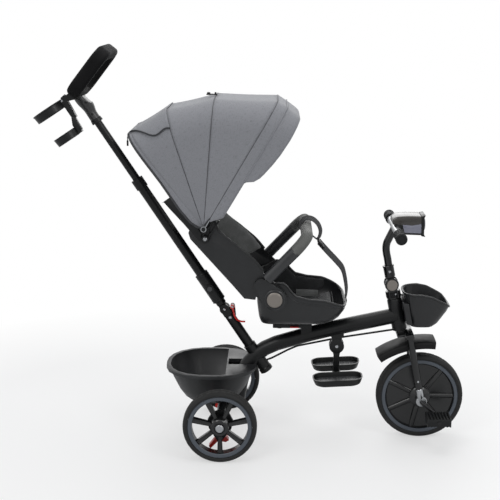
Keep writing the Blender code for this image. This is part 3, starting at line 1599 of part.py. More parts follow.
pad_line = [tuple(pad_top), BACK_LINE[4]]
pad = offset_line(pad_line, BACK_BODY_WALL + 0.0010)
pad += offset_line(pad_line, BACK_BODY_WALL + PAD_THICKNESS)[::-1]
node(
    "backrest_pad",
    CANOPY_GREY,
    back_body,
    slab(xz(pad, on_seat), -PAD_HALF_WIDTH, PAD_HALF_WIDTH),
)

# Recline covers: on each side of the tub, the hinge pin, its disc and the bumper bar's socket
cover_inner_y = shell_half + 0.0007
cover_outer_y = cover_inner_y + HOUSING_THICKNESS
bar_direction = (Vector(BAR_TOP) - Vector(BAR_SOCKET)).normalized()
bar_length = (Vector(BAR_TOP) - Vector(BAR_SOCKET)).length
plug_y = (cover_inner_y + cover_outer_y) / 2
plug_radius = 0.0038
plug_depth = 0.022


def on_bar(along, y):
    """A point along the bumper bar's arms from its sockets, y across."""
    return on_seat(BAR_SOCKET[0] + bar_direction.x * along, BAR_SOCKET[1] + bar_direction.y * along, y)


for name, hand in (("left", 1), ("right", -1)):
    low, high = sorted((hand * cover_inner_y, hand * cover_outer_y))
    node(
        f"recline_cover_{name}",
        BLACK_PLASTIC,
        seat_body,
        slab(xz(link_outline(PIVOT, PIVOT_EAR_RADIUS, BAR_SOCKET, BAR_SOCKET_RADIUS), on_seat), low, high),
        joined=(
            rod(
                on_seat(*PIVOT, hand * (TUB_HALF_WIDTH + FIT)),
                on_seat(*PIVOT, hand * (cover_inner_y + 0.002)),
                PIVOT_PIN_RADIUS,
            ),
            rod(
                on_seat(*PIVOT, hand * (cover_outer_y - 0.002)),
                on_seat(*PIVOT, hand * (cover_outer_y + 0.0025)),
                PIVOT_DISC_RADIUS,
            ),
        ),
        removed=(
            rod(
                on_bar(BAR_SOCKET_RADIUS - plug_depth, hand * plug_y),
                on_bar(BAR_SOCKET_RADIUS + OVER, hand * plug_y),
                plug_radius + FIT,
                sides=16,
            ),
        ),
    )

# Bumper bar: a tube with two plugs in the sockets, and its foam cover round the upper part
bar_start = BAR_SOCKET_RADIUS + BAR_STANDOFF
bar_y = cover_inner_y + 0.0005 + BAR_RADIUS


def bar_path(start):
    """Points along the bar from start on its right arm, round both corners, to its left arm."""
    bend = (bar_length - BAR_CORNER, bar_y - BAR_CORNER)
    half_way = [(start, bar_y)] + arc(bend, BAR_CORNER, pi / 2, 0, 4)
    across = [on_bar(along, -y) for along, y in half_way]
    return across + [on_bar(along, y) for along, y in reversed(half_way)]


node(
    "bumper_bar",
    BLACK_PLASTIC,
    bar_body,
    pipe(bar_path(bar_start), BAR_RADIUS, sides=12, smooth=False),
    joined=[
        rod(
            on_bar(BAR_SOCKET_RADIUS - plug_depth + 0.001, hand * plug_y),
            on_bar(bar_start + 0.006, hand * plug_y),
            plug_radius,
            sides=16,
        )
        for hand in (-1, 1)
    ],
)
node(
    "bar_cover",
    GREY_PLASTIC,
    bar_body,
    pipe(bar_path(BAR_COVER_START), BAR_RADIUS + FIT + BAR_COVER_WALL, sides=12, smooth=False),
    removed=(pipe(bar_path(bar_start), BAR_RADIUS + FIT, sides=12, smooth=False),),
)

# Crotch strap: a loop round the bar's cover and a flat strap down to the tub's front edge
strap_inner = BAR_RADIUS + FIT + BAR_COVER_WALL + FIT
strap_outer = strap_inner + STRAP_THICKNESS
strap_end = on_seat(0.1535, 0.074)
strap_line = [
    (SWIVEL_X + BAR_TOP[0] + strap_outer - 0.001, TUB_BOTTOM + BAR_TOP[1]),
    (SWIVEL_X + BAR_TOP[0] + strap_outer + 0.004, TUB_BOTTOM + BAR_TOP[1] - 0.026),
    (0.276, 0.577),
    (0.346, 0.502),
    (0.357, 0.470),
    (strap_end.x - REAR_AXLE_X, strap_end.z),
]
strap = offset_line(strap_line, -STRAP_THICKNESS / 2) + offset_line(strap_line, STRAP_THICKNESS / 2)[::-1]
node(
    "crotch_strap",
    STRAP_BLACK,
    seat_body,
    slab(xz(strap), -STRAP_WIDTH / 2, STRAP_WIDTH / 2),
    joined=(
        turned(
            (
                (strap_outer, STRAP_WIDTH / 2),
                (strap_outer, -STRAP_WIDTH / 2),
                (strap_inner, -STRAP_WIDTH / 2),
                (strap_inner, STRAP_WIDTH / 2),
            ),
            on_bar(bar_length, 0),
            ACROSS,
            28,
        ),
    ),
)

# Canopy: wire bows on a common hub each side, and the fabric between them
hub = side(*CANOPY_HUB)
bow_halves = [mount_y + MOUNT_THICKNESS + BOW_RADIUS + 0.0002 + BOW_SPACING * k for k in range(4)]
eye_half = BOW_SPACING / 2 - FIT
hub_pin = 0.003
pin_end = bow_halves[-1] + eye_half + FIT


def bow_line(index, start, extra=0.0):
    """(distance from the hub, y) along a bow, grown by extra, from its left leg to its right."""
    bend = BOW_REACH[index] - BOW_CORNER
    half = bow_halves[index]
    left = [(start, half + extra), ((start + bend) / 2, half + extra)]
    left += [
        (r, y) for y, r in arc((half - BOW_CORNER, bend), BOW_CORNER + extra, 0, pi / 2, 4)
    ]
    return left + [(r, -y) for r, y in reversed(left)]


def on_bow(index, along, y, behind=0.0):
    """A point in the bow's own plane, or behind it."""
    angle = BOW_ANGLES[index]
    return (
        hub
        + Vector((cos(angle), 0, sin(angle))) * along
        + Vector((-sin(angle), 0, cos(angle))) * behind
        + ACROSS * y
    )


def bow_wire(index, start):
    points = [on_bow(index, along, y) for along, y in bow_line(index, start)]
    return pipe(points, BOW_RADIUS, sides=6, smooth=False)


plate = link_outline(MOUNT_BOLT, MOUNT_BOLT_RADIUS, CANOPY_HUB, MOUNT_HUB_RADIUS)
plates = []
for hand in (-1, 1):
    low, high = sorted((hand * mount_y, hand * (mount_y + MOUNT_THICKNESS)))
    bolt = side(*MOUNT_BOLT)
    plates += [
        slab(xz(plate), low, high),
        rod(hub + ACROSS * hand * mount_y, hub + ACROSS * hand * (pin_end + 0.001), hub_pin, sides=12),
        rod(
            hub + ACROSS * hand * (mount_y + MOUNT_THICKNESS - 0.001),
            hub + ACROSS * hand * (bow_halves[0] + eye_half),
            BOW_EYE_RADIUS,
            sides=16,
        ),
        rod(hub + ACROSS * hand * pin_end, hub + ACROSS * hand * (pin_end + 0.002), 0.0055, sides=16),
        rod(
            bolt + ACROSS * hand * (mount_y + MOUNT_THICKNESS - 0.001),
            bolt + ACROSS * hand * (mount_y + MOUNT_THICKNESS + 0.003),
            0.0065,
            sides=16,
        ),
        rod(
            bolt + ACROSS * hand * (shell_half - 0.003),
            bolt + ACROSS * hand * (mount_y + 0.001),
            bolt_hole,
            sides=12,
        ),
    ]
node("canopy_mount", BLACK_PLASTIC, back_body, bow_wire(0, 0.0), joined=plates)
for index in range(1, len(BOW_ANGLES)):
    eyes = []
    holes = []
    for hand in (-1, 1):
        middle = hub + ACROSS * hand * bow_halves[index]
        eyes.append(rod(middle - ACROSS * eye_half, middle + ACROSS * eye_half, BOW_EYE_RADIUS, sides=16))
        holes.append(rod(middle - ACROSS * 0.01, middle + ACROSS * 0.01, hub_pin + FIT, sides=12))
    node(
        f"canopy_bow_{index + 1}",
        BRIGHT_STEEL,
        bow_bodies[index],
        bow_wire(index, 0.006),
        joined=eyes,
        removed=holes,
    )

fabric_inner = BOW_RADIUS + FABRIC_GAP
fabric_outer = fabric_inner + FABRIC_THICKNESS
seam = 0.0004
for index, name in enumerate(("rear", "mid", "front")):
    faces = []
    for extra in (fabric_outer, fabric_inner):
        rear_edge = [on_bow(index, a, y, -seam) for a, y in bow_line(index, FABRIC_START, extra)]
        front_edge = [on_bow(index + 1, a, y, seam) for a, y in bow_line(index + 1, FABRIC_START, extra)]
        middle = [(a + b) / 2 for a, b in zip(rear_edge, front_edge)]
        faces.append([rear_edge, middle, front_edge])
    node(f"canopy_panel_{name}", CANOPY_GREY, bow_bodies[index], sheet(*faces))
faces = []
for extra in (fabric_outer, fabric_inner):
    line = bow_line(3, FABRIC_START, extra)
    reach = [min(max((a - VISOR_START) / VISOR_SLANT, 0), 1) for a, _ in line]
    depth = [VISOR_HEM + (VISOR_DEPTH - VISOR_HEM) * share for share in reach]
    edge = [on_bow(3, a - VISOR_DROP * share, y, -d) for (a, y), share, d in zip(line, reach, depth)]
    lip = [
        on_bow(3, a - (VISOR_DROP + VISOR_LIP) * share, y, -d - VISOR_LIP * 0.35)
        for (a, y), share, d in zip(line, reach, depth)
    ]
    faces.append([[on_bow(3, a, y, -seam) for a, y in line], edge, lip])
node("canopy_visor", CANOPY_GREY, bow_bodies[3], sheet(*faces))

# Footrest: a bracket under the main tube, and a folding arm with a tray for each foot
pivot = side(*FOOT_PIVOT)
cheek_inner = FOOT_ARM_HALF + 0.0005
cheek_outer = cheek_inner + FOOT_CHEEK_THICKNESS
block_bottom = FOOT_PIVOT[1] + FOOT_DISC_RADIUS + 0.001
block_top = FOOT_PIVOT[1] + 0.048
bracket = [
    rod(pivot - ACROSS * (cheek_outer - 0.001), pivot + ACROSS * (cheek_outer - 0.001), FOOT_PIN_RADIUS)
]
for hand in (-1, 1):
    low, high = sorted((hand * cheek_inner, hand * cheek_outer))
    bracket += [
        rod(pivot + ACROSS * low, pivot + ACROSS * high, FOOT_DISC_RADIUS),
        box(
            (2 * FOOT_DISC_RADIUS - 0.002, high - low, block_bottom - FOOT_PIVOT[1] + 0.004),
            pivot + Vector((0, (low + high) / 2, (block_bottom - FOOT_PIVOT[1] + 0.004) / 2)),
        ),
    ]
node(
    "footrest_bracket",
    BLACK_PLASTIC,
    frame,
    box(
        (2 * FOOT_DISC_RADIUS - 0.002, 2 * cheek_outer, block_top - block_bottom),
        side(FOOT_PIVOT[0], (block_top + block_bottom) / 2),
    ),
    joined=bracket,
    removed=(pipe(main_path, MAIN_TUBE_RADIUS + FIT, sides=16, detail=2),),
)
tray_x = FOOT_PIVOT[0] + FOOT_PLATE_SHIFT
tray_z = FOOT_PLATE_TOP - FOOT_PLATE_HEIGHT / 2
tray_y = (FOOT_PLATE_INNER + FOOT_PLATE_OUTER) / 2
tray_size = (FOOT_PLATE_LENGTH, FOOT_PLATE_OUTER - FOOT_PLATE_INNER, FOOT_PLATE_HEIGHT)
trays = []
hollows = []
for hand in (-1, 1):
    trays.append(box(tray_size, side(tray_x, tray_z, hand * tray_y), 0.008))
    hollows.append(
        box(
            [size - 2 * FOOT_WALL for size in tray_size],
            side(tray_x, tray_z + 2 * FOOT_WALL, hand * tray_y),
        )
    )
node(
    "footrest",
    BLACK_PLASTIC,
    footrest_body,
    rod(pivot - ACROSS * FOOT_ARM_HALF, pivot + ACROSS * FOOT_ARM_HALF, FOOT_DISC_RADIUS - 0.001),
    joined=[
        slab(
            xz(
                (
                    (FOOT_PIVOT[0] - 0.019, FOOT_PIVOT[1]),
                    (FOOT_PIVOT[0] + 0.019, FOOT_PIVOT[1]),
                    (FOOT_PIVOT[0] + 0.022, FOOT_PLATE_TOP - FOOT_PLATE_HEIGHT + 0.002),
                    (FOOT_PIVOT[0] - 0.024, FOOT_PLATE_TOP - FOOT_PLATE_HEIGHT + 0.002),
                )
            ),
            -FOOT_ARM_HALF,
            FOOT_ARM_HALF,
        ),
        box(
            (0.050, 2 * FOOT_PLATE_INNER + 0.006, FOOT_PLATE_HEIGHT - 0.004),
            side(FOOT_PIVOT[0], tray_z),
            0.003,
        ),
    ]
    + trays,
    removed=hollows
    + [rod(pivot - ACROSS * 0.05, pivot + ACROSS * 0.05, FOOT_PIN_RADIUS + FIT, sides=16)],
)
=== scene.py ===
"""Push tricycle for a toddler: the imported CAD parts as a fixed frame, dressed in the order of assembly.

Metres, +X forward, +Y to the rider's left, +Z up. A side-view place is (x, z) from the rear axle and floor.
"""

from math import atan2, cos, pi, radians, sin, sqrt, tau

import bmesh
import bpy
from mathutils import Matrix, Vector

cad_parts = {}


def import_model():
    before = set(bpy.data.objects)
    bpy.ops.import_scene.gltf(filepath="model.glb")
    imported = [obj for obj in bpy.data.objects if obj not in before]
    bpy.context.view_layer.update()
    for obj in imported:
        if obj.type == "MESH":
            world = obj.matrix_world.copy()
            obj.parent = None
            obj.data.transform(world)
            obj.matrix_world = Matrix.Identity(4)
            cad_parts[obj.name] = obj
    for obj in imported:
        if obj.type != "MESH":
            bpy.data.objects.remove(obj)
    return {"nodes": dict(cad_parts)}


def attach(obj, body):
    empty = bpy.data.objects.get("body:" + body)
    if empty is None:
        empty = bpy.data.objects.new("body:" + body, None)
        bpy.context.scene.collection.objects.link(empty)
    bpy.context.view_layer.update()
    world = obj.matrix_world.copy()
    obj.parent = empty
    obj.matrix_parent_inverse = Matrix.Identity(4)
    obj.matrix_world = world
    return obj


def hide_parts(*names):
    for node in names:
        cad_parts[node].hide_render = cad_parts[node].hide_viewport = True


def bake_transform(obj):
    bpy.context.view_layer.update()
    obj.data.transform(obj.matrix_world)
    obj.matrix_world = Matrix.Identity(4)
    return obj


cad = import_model()["nodes"]
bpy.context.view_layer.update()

# Main frame. A bent 44 mm steel tube with the rear cross tube, the head tube and the pole's socket welded on,
# then powder-coated satin black: a soft sheen with a faint orange-peel texture. The CAD node has its shape.
REAR_AXLE_X = -0.0923
ACROSS = Vector((0, 1, 0))


def side(x, z, y=0.0):
    """A point x ahead of the rear axle, z above the floor and y to the rider's left."""
    return Vector((REAR_AXLE_X + x, y, z))


def linear(code):
    """An sRGB hex colour as Blender's linear RGBA."""
    shares = [int(code[i : i + 2], 16) / 255 for i in (0, 2, 4)]
    return (*(c / 12.92 if c <= 0.04045 else ((c + 0.055) / 1.055) ** 2.4 for c in shares), 1)


def wire(material, kind, inputs=None, **settings):
    """Adds a node to the material with its settings, values and links, and gives back its outputs."""
    made = material.node_tree.nodes.new(kind)
    for key, value in settings.items():
        setattr(made, key, value)
    for key, value in (inputs or {}).items():
        if isinstance(value, bpy.types.NodeSocket):
            material.node_tree.links.new(value, made.inputs[key])
        else:
            made.inputs[key].default_value = value
    return made.outputs


def blank(name, roughness, constants):
    """A new material, with what is the same all over it set on its shader's own sockets."""
    material = bpy.data.materials.new(name)
    material.use_nodes = True
    shader = material.node_tree.nodes["Principled BSDF"]
    shader.inputs["Roughness"].default_value = roughness
    for key, value in constants.items():
        shader.inputs[key.replace("_", " ")].default_value = value
    return material


def toned(material, tone, ends, shades, height, strength, depth):
    """Runs the colour from one shade to the other as the tone goes from end to end, and adds the relief."""
    tint = wire(material, "ShaderNodeValToRGB", {"Fac": tone})["Color"]
    for stop, end, shade in zip(material.node_tree.nodes[-1].color_ramp.elements, ends, shades):
        stop.position = end
        stop.color = linear(shade)
    bump = {"Height": height, "Strength": strength, "Distance": depth}
    relief = wire(material, "ShaderNodeBump", bump)["Normal"]
    shader = material.node_tree.nodes["Principled BSDF"]
    material.node_tree.links.new(tint, shader.inputs["Base Color"])
    material.node_tree.links.new(relief, shader.inputs["Normal"])
    return material


def finish(name, shade, worn, roughness, grain, depth, **constants):
    """A surface of one stuff: two close shades in soft patches, uneven gloss, and a fine grain in metres."""
    material = blank(name, roughness, constants)
    place = wire(material, "ShaderNodeTexCoord")["Object"]
    patches = wire(material, "ShaderNodeTexNoise", {"Vector": place, "Scale": 22, "Detail": 4})["Fac"]
    swing = {"From Min": 0.3, "From Max": 0.7, "To Min": roughness * 0.86, "To Max": roughness * 1.14}
    gloss = wire(material, "ShaderNodeMapRange", {"Value": patches, **swing})["Result"]
    material.node_tree.links.new(gloss, material.node_tree.nodes["Principled BSDF"].inputs["Roughness"])
    specks = wire(material, "ShaderNodeTexNoise", {"Vector": place, "Scale": 1 / grain, "Detail": 3})["Fac"]
    return toned(material, patches, (0, 1), (shade, worn), specks, 0.6, depth)


def smoothing():
    """A node group that welds a CAD node's loose triangles and shades it smooth up to 32 degrees."""
    group = bpy.data.node_groups.new("smooth_shell", "GeometryNodeTree")
    group.interface.new_socket("Geometry", in_out="INPUT", socket_type="NodeSocketGeometry")
    group.interface.new_socket("Geometry", in_out="OUTPUT", socket_type="NodeSocketGeometry")
    start = group.nodes.new("NodeGroupInput")
    weld = group.nodes.new("GeometryNodeMergeByDistance")
    weld.inputs["Distance"].default_value = 0.00001
    faces = group.nodes.new("GeometryNodeSetShadeSmooth")
    angle = group.nodes.new("GeometryNodeInputMeshEdgeAngle")
    steep = group.nodes.new("FunctionNodeCompare")
    steep.inputs["B"].default_value = radians(32)
    edges = group.nodes.new("GeometryNodeSetShadeSmooth")
    edges.domain = "EDGE"
    edges.inputs["Shade Smooth"].default_value = False
    end = group.nodes.new("NodeGroupOutput")
    for a, b in (
        (start.outputs[0], weld.inputs["Geometry"]),
        (weld.outputs[0], faces.inputs["Geometry"]),
        (faces.outputs[0], edges.inputs["Geometry"]),
        (angle.outputs["Unsigned Angle"], steep.inputs["A"]),
        (steep.outputs["Result"], edges.inputs["Selection"]),
        (edges.outputs[0], end.inputs[0]),
    ):
        group.links.new(a, b)
    return group


smooth_shell = smoothing()


def dress(material, slot, *names):
    """Gives CAD nodes their finish and smooth shading; the slot is not used."""
    for name in names:
        part = cad[name]
        part.data.materials.clear()
        part.data.materials.append(material)
        smooth = part.modifiers.new("smooth", "NODES")
        smooth.node_group = smooth_shell


# Powder coat on steel: an orange-peel texture of about 1.4 mm, drawn a little deeper than real to show
powder_coat = finish("powder_coated_steel", "0e0f10", "151617", 0.34, 0.0014, 0.00006,
                     Specular_IOR_Level=0.25)
dress(powder_coat, "painted_steel", "main_frame")


def stood(name, bm):
    """The shape as an object of the scene."""
    mesh = bpy.data.meshes.new(name)
    bm.to_mesh(mesh)
    bm.free()
    made = bpy.data.objects.new(name, mesh)
    bpy.context.scene.collection.objects.link(made)
    return made


def entered(made, body, materials, stands_for):
    """Gives an object its materials and body, and hides the CAD nodes it stands for."""
    made.data.shade_smooth()
    for material in materials:
        made.data.materials.append(material)
    if body:
        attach(made, body)
    if stands_for:
        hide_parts(*stands_for)


def piece(name, bm, body, slot, *materials, stands_for=(), crease=35):
    """Makes the shape an object that rides on a body, or on none yet, and stands for CAD nodes."""
    bmesh.ops.recalc_face_normals(bm, faces=bm.faces)
    made = stood(name, bm)
    entered(made, body, materials, stands_for)
    made.data.set_sharp_from_angle(angle=radians(crease))
    return made


# Welds of the frame. Beads of weld metal, 3 mm high, run round each joint under the powder coat.
# Each is a thin wavy ring, as a hand weld leaves it.
PARTS = (bmesh.types.BMVert, bmesh.types.BMEdge, bmesh.types.BMFace)


def parted(result):
    """The points, the edges and the faces that an extrusion made."""
    return [[item for item in result["geom"] if isinstance(item, kind)] for kind in PARTS]


def swept(bm, points, radius, sides=32, wave=0.0):
    """A round bar along the points, capped at both ends. A wave makes it swell and shrink by turns."""
    points = [Vector(point) for point in points]
    legs = [(b - a).normalized() for a, b in zip(points, points[1:])]
    headings = [legs[0]] + [(a + b).normalized() for a, b in zip(legs, legs[1:])] + [legs[-1]]
    place = Matrix.Translation(points[0]) @ headings[0].to_track_quat("Z", "Y").to_matrix().to_4x4()
    ring = bmesh.ops.create_circle(bm, cap_ends=True, segments=sides, radius=radius, matrix=place)["verts"]
    edges = list({edge for vert in ring for edge in vert.link_edges})
    for index in range(1, len(points)):
        ring, edges, _ = parted(bmesh.ops.extrude_edge_only(bm, edges=edges))
        bmesh.ops.translate(bm, verts=ring, vec=points[index] - points[index - 1])
        swing = headings[index - 1].rotation_difference(headings[index]).to_matrix()
        bmesh.ops.rotate(bm, verts=ring, cent=points[index], matrix=swing)
        if wave:
            size = 1 + wave if index % 2 else 1 / (1 + wave)
            bmesh.ops.scale(bm, verts=ring, vec=(size, size, size), space=Matrix.Translation(-points[index]))
    bmesh.ops.contextual_create(bm, geom=edges)


def round_points(centre, axis, radius, count=48):
    """Points on a circle about the axis, which ends where it starts."""
    axis = Vector(axis).normalized()
    arm = axis.orthogonal().normalized() * radius
    return [centre + Matrix.Rotation(tau * i / count, 3, axis) @ arm for i in range(count + 1)]


POLE_TILT = radians(33.21)
POLE_UP = Vector((-sin(POLE_TILT), 0, cos(POLE_TILT)))
POLE_FORWARD = Vector((cos(POLE_TILT), 0, sin(POLE_TILT)))


def on_pole(up, forward=0.0, y=0.0):
    return side(0.0946, 0.2457) + POLE_UP * up + POLE_FORWARD * forward + ACROSS * y


bm = bmesh.new()
for y in (-0.0206, 0.0206):
    swept(bm, round_points(side(0.0325, 0.1025, y), ACROSS, 0.0146, 40), 0.0016, 8, wave=0.12)
swept(bm, round_points(on_pole(0.0325), POLE_UP, 0.0172, 40), 0.0012, 8, wave=0.12)
piece("frame_welds", bm, "frame", "painted_steel", powder_coat)

# Rear axle and its heads. A zinc-plated rod with a domed bright cap pressed on at each end. The plating is a
# cool grey mirror, slightly blurred.
zinc = finish("bright_zinc_plating", "b0b2b4", "9b9da0", 0.24, 0.0012, 0.00002, Metallic=1.0)
dress(zinc, "bright_steel", "rear_axle")


def turned(bm, profile, origin, axis, steps=96, material=0):
    """Spins a closed profile of (radius, height) about the axis."""
    axis = Vector(axis).normalized()
    arm = axis.orthogonal().normalized()
    before = set(bm.faces)
    points = [bm.verts.new(origin + arm * radius + axis * height) for radius, height in profile]
    edges = [bm.edges.new(pair) for pair in zip(points, points[1:] + points[:1])]
    bmesh.ops.spin(bm, geom=points + edges, cent=origin, axis=axis, angle=tau, steps=steps, use_merge=True)
    new = [face for face in bm.faces if face not in before]
    bmesh.ops.remove_doubles(bm, verts=list({v for face in new for v in face.verts}), dist=0.00001)
    for face in bm.faces:
        if face not in before:
            face.material_index = material


# Tyres. Solid EVA foam rubber moulded in one ring: matt, faintly speckled, with a groove round the tread
# and small cross grooves on its shoulders. They slip over the rims' barrels.
# Foam rubber scatters light evenly, with fine dark and pale specks of about 1 mm
foam = finish("moulded_foam_rubber", "262626", "303030", 0.82, 0.0011, 0.00022, Specular_IOR_Level=0.3)
AXLE = side(0.57, 0.125)
WHEELS = {
    "rear_left": (side(0, 0.1025, 0.2), 0.1025, 0.0135, 0.02, "rear_wheel_left_body", "rear_tyre_left"),
    "rear_right": (side(0, 0.1025, -0.2), 0.1025, 0.0135, 0.02, "rear_wheel_right_body", "rear_tyre_right"),
    "front": (AXLE, 0.125, 0.015, 0.0225, "front_wheel", "front_tyre"),
}
TYRE_STEPS = 128
# Depth under the tread and half width, as shares of the tyre's own
TREAD = ((0.72, 0.97), (0.62, 0.945), (0.55, 1), (0.35, 0.95), (0.16, 0.8), (0.05, 0.6))
TREAD += ((0, 0.34), (0, 0.12))
for name, (centre, radius, depth, half, body, node) in WHEELS.items():
    outline = [(radius - depth + 0.0003, half * 0.86)]
    outline += [(radius - depth * down, half * wide) for down, wide in TREAD]
    outline.append((radius - 0.0012, half * 0.08))
    outline += [(r, -y) for r, y in reversed(outline)]
    bm = bmesh.new()
    turned(bm, outline, centre, ACROSS, TYRE_STEPS)
    grooves = []
    for face in bm.faces:
        middle = face.calc_center_median() - centre
        on_shoulder = half * 0.36 < abs(middle.y) < half * 0.75 and middle.length > radius - depth * 0.3
        if on_shoulder and round(TYRE_STEPS * atan2(*middle.xz) / tau) % 4 == 0:
            grooves.append(face)
    bmesh.ops.inset_region(bm, faces=grooves, thickness=0.0009, depth=-0.0008, use_even_offset=True)
    piece(f"tyre_{name}", bm, body, "tyre_foam", foam, stands_for=(node,), crease=30)

# Rear rims. Injection-moulded polypropylene: a barrel with a blue-grey side ring, seven channelled spokes and
# a hub. Black parts are glossier inside the wheel than the ring, which is left matt.
rim_black = finish("glossy_black_rim_plastic", "0f1011", "161718", 0.24, 0.0016, 0.00003)
ring_grey = finish("blue_grey_rim_plastic", "474d55", "4f555d", 0.44, 0.0012, 0.00003)


def rounded(bm, edges, offset, segments, clamp=False):
    """Rounds the edges over."""
    shape = {"profile": 0.5, "affect": "EDGES", "material": -1, "clamp_overlap": clamp}
    bmesh.ops.bevel(bm, geom=edges, offset=offset, segments=segments, **shape)


def block(bm, size, place, edge, segments=3, material=0):
    """A box with rounded edges, centred on place."""
    place = place if isinstance(place, Matrix) else Matrix.Translation(place)
    verts = bmesh.ops.create_cube(bm, size=1, matrix=place @ Matrix.Diagonal((*size, 1)))["verts"]
    for face in {face for vert in verts for face in vert.link_faces}:
        face.material_index = material
    rounded(bm, list({e for vert in verts for e in vert.link_edges}), edge, segments, clamp=True)


def spokes(bm, centre, near, far, size, depth, count):
    """Spokes from the hub to the barrel, each with a channel sunk in both faces."""
    before = set(bm.faces)
    middle = centre - Vector((0, 0, (near + far) / 2))
    shape = Matrix.Translation(middle) @ Matrix.Diagonal((size, depth, far - near, 1))
    verts = bmesh.ops.create_cube(bm, size=1, matrix=shape)["verts"]
    low = [v for v in verts if v.co.z < middle.z]
    bmesh.ops.scale(bm, verts=low, vec=(1.35, 1, 1), space=Matrix.Translation(-middle))
    walls = [f for f in bm.faces if f not in before and abs(f.normal.y) > 0.9]
    bmesh.ops.inset_individual(bm, faces=walls, thickness=0.0024, depth=-0.0035)
    edges = {e for f in bm.faces if f not in before for e in f.edges}
    rounded(bm, [e for e in edges if e.calc_face_angle(0) > 0.6], 0.0007, 2)
    new = [f for f in bm.faces if f not in before]
    geom = new + list({v for f in new for v in f.verts}) + list({e for f in new for e in f.edges})
    turn = {"cent": centre, "axis": ACROSS, "angle": tau * (count - 1) / count, "steps": count - 1}
    bmesh.ops.spin(bm, geom=geom, use_duplicate=True, **turn)


def paint_ring(bm, centre, out, reach):
    """Gives the side ring's faces, which lie past out and past reach from the hub, their own plastic."""
    for face in bm.faces:
        middle = face.calc_center_median() - centre
        if abs(middle.y) > out and middle.length > reach:
            face.material_index = 1


SPOKES = 7
for name in ("left", "right"):
    centre = WHEELS[f"rear_{name}"][0]
    bm = bmesh.new()
    barrel = [(0.0872, 0.0168), (0.0888, 0.0152), (0.0888, -0.0152), (0.0872, -0.0168)]
    barrel += [(0.079, -0.0158), (0.0772, -0.014), (0.0775, 0.014), (0.079, 0.0158)]
    turned(bm, barrel, centre, ACROSS, 128)
    paint_ring(bm, centre, 0.0142, 0.0785)
    spokes(bm, centre, 0.022, 0.0782, 0.0108, 0.015, SPOKES)
    hub = [(0.0055, 0.02), (0.0135, 0.02), (0.015, 0.0214), (0.022, 0.0214), (0.0247, 0.019), (0.025, 0.015)]
    hub += [(r, -y) for r, y in reversed(hub)]
    turned(bm, hub, centre, ACROSS, 64)
    rim = (f"rear_rim_{name}",)
    piece(f"rim_rear_{name}", bm, f"rear_wheel_{name}_body", "wheel_plastic", rim_black, ring_grey,
          stands_for=rim)

# Front rim. One moulding in the same two plastics: a closed, slightly dished disc with seven raised ribs, a
# stepped hub and the blue-grey ring.
bm = bmesh.new()
disc = [(0.03, 0.01), (0.042, 0.0085), (0.07, 0.008), (0.095, 0.0095), (0.099, 0.017), (0.1002, 0.0188)]
disc += [(0.1085, 0.0192), (0.11, 0.0176)]
disc += [(r, -y) for r, y in reversed(disc)]
turned(bm, disc, AXLE, ACROSS, 128)
paint_ring(bm, AXLE, 0.0165, 0.0985)
hub = [(0.0058, 0.0425), (0.013, 0.0425), (0.0145, 0.041), (0.0145, 0.027), (0.027, 0.0235), (0.03, 0.0205)]
hub += [(0.03, 0.0095)]
hub += [(r, -y) for r, y in reversed(hub)]
turned(bm, hub, AXLE, ACROSS, 64)
for hand in (-1, 1):
    for index in range(SPOKES):
        turn = Matrix.Translation(AXLE) @ Matrix.Rotation(tau * index / SPOKES + radians(90), 4, "Y")
        rib = [turn @ Vector((0, hand * (0.008 - 0.03 * reach), reach)) for reach in (0.028, 0.06, 0.0985)]
        swept(bm, rib, 0.0084, 24)
piece("rim_front", bm, "front_wheel", "wheel_plastic", rim_black, ring_grey, stands_for=("front_rim",))

# Brake housings and rocker pedals. Black polypropylene housings behind the rear hubs carry one red pedal
# each, whose two pads have moulded grip ribs.
# Moulded polypropylene has a fine even grain, and red ABS a smooth gloss
black_pp = finish("black_moulded_polypropylene", "131415", "1b1c1d", 0.46, 0.0008, 0.00007,
                  Specular_IOR_Level=0.25)
red_abs = finish("red_moulded_abs", "d8261b", "c41f15", 0.34, 0.0012, 0.00003)
dress(black_pp, "black_plastic", "brake_housing_left", "brake_housing_right")
dress(red_abs, "red_plastic", "brake_pedal_left", "brake_pedal_right")

# Rear basket and head tube. The basket is a one-piece moulding in speckled black polypropylene with a ribbed
# deck; the head tube's cover and bush are smooth mouldings pressed on.
# The basket's grain is coarse with pale specks, and the mouldings' is fine and satin
speckled_pp = finish("speckled_black_polypropylene", "18191a", "323335", 0.44, 0.0013, 0.0003,
                     Specular_IOR_Level=0.4)
satin_pp = finish("satin_black_moulding", "101112", "161718", 0.34, 0.001, 0.00004, Specular_IOR_Level=0.28)
dress(speckled_pp, "black_plastic", "rear_basket")
dress(satin_pp, "black_plastic", "head_cover", "steering_bush")


bm = bmesh.new()
for index in range(7):
    block(bm, (0.004, 0.15, 0.0022), side(-0.078 + 0.0125 * index, 0.1235), 0.0009, 2)
piece("basket_deck_ribs", bm, "frame", "black_plastic", speckled_pp)

# Front basket. A small black polypropylene tub whose rim dips to the front, with a rolled lip round its rim
# and a boss that fits the head tube's cover.
# Smooth moulded shells have a soft, even sheen
satin_shell = finish("satin_black_shell_plastic", "1a1b1c", "222325", 0.34, 0.001, 0.00005,
                     Specular_IOR_Level=0.4)
dress(satin_shell, "black_plastic", "front_basket")
TRAIL = 0.0212
HEAD_TILT = radians(11.5)
STEER_UP = Vector((-sin(HEAD_TILT), 0, cos(HEAD_TILT)))
STEER_FORWARD = Vector((cos(HEAD_TILT), 0, sin(HEAD_TILT)))
STEER_FOOT = AXLE - STEER_FORWARD * TRAIL
FRONT_RIM = ((-0.12, 0.4365), (-0.01, 0.4395), (0.0186, 0.434), (0.06, 0.413), (0.086, 0.384), (0.13, 0.36))
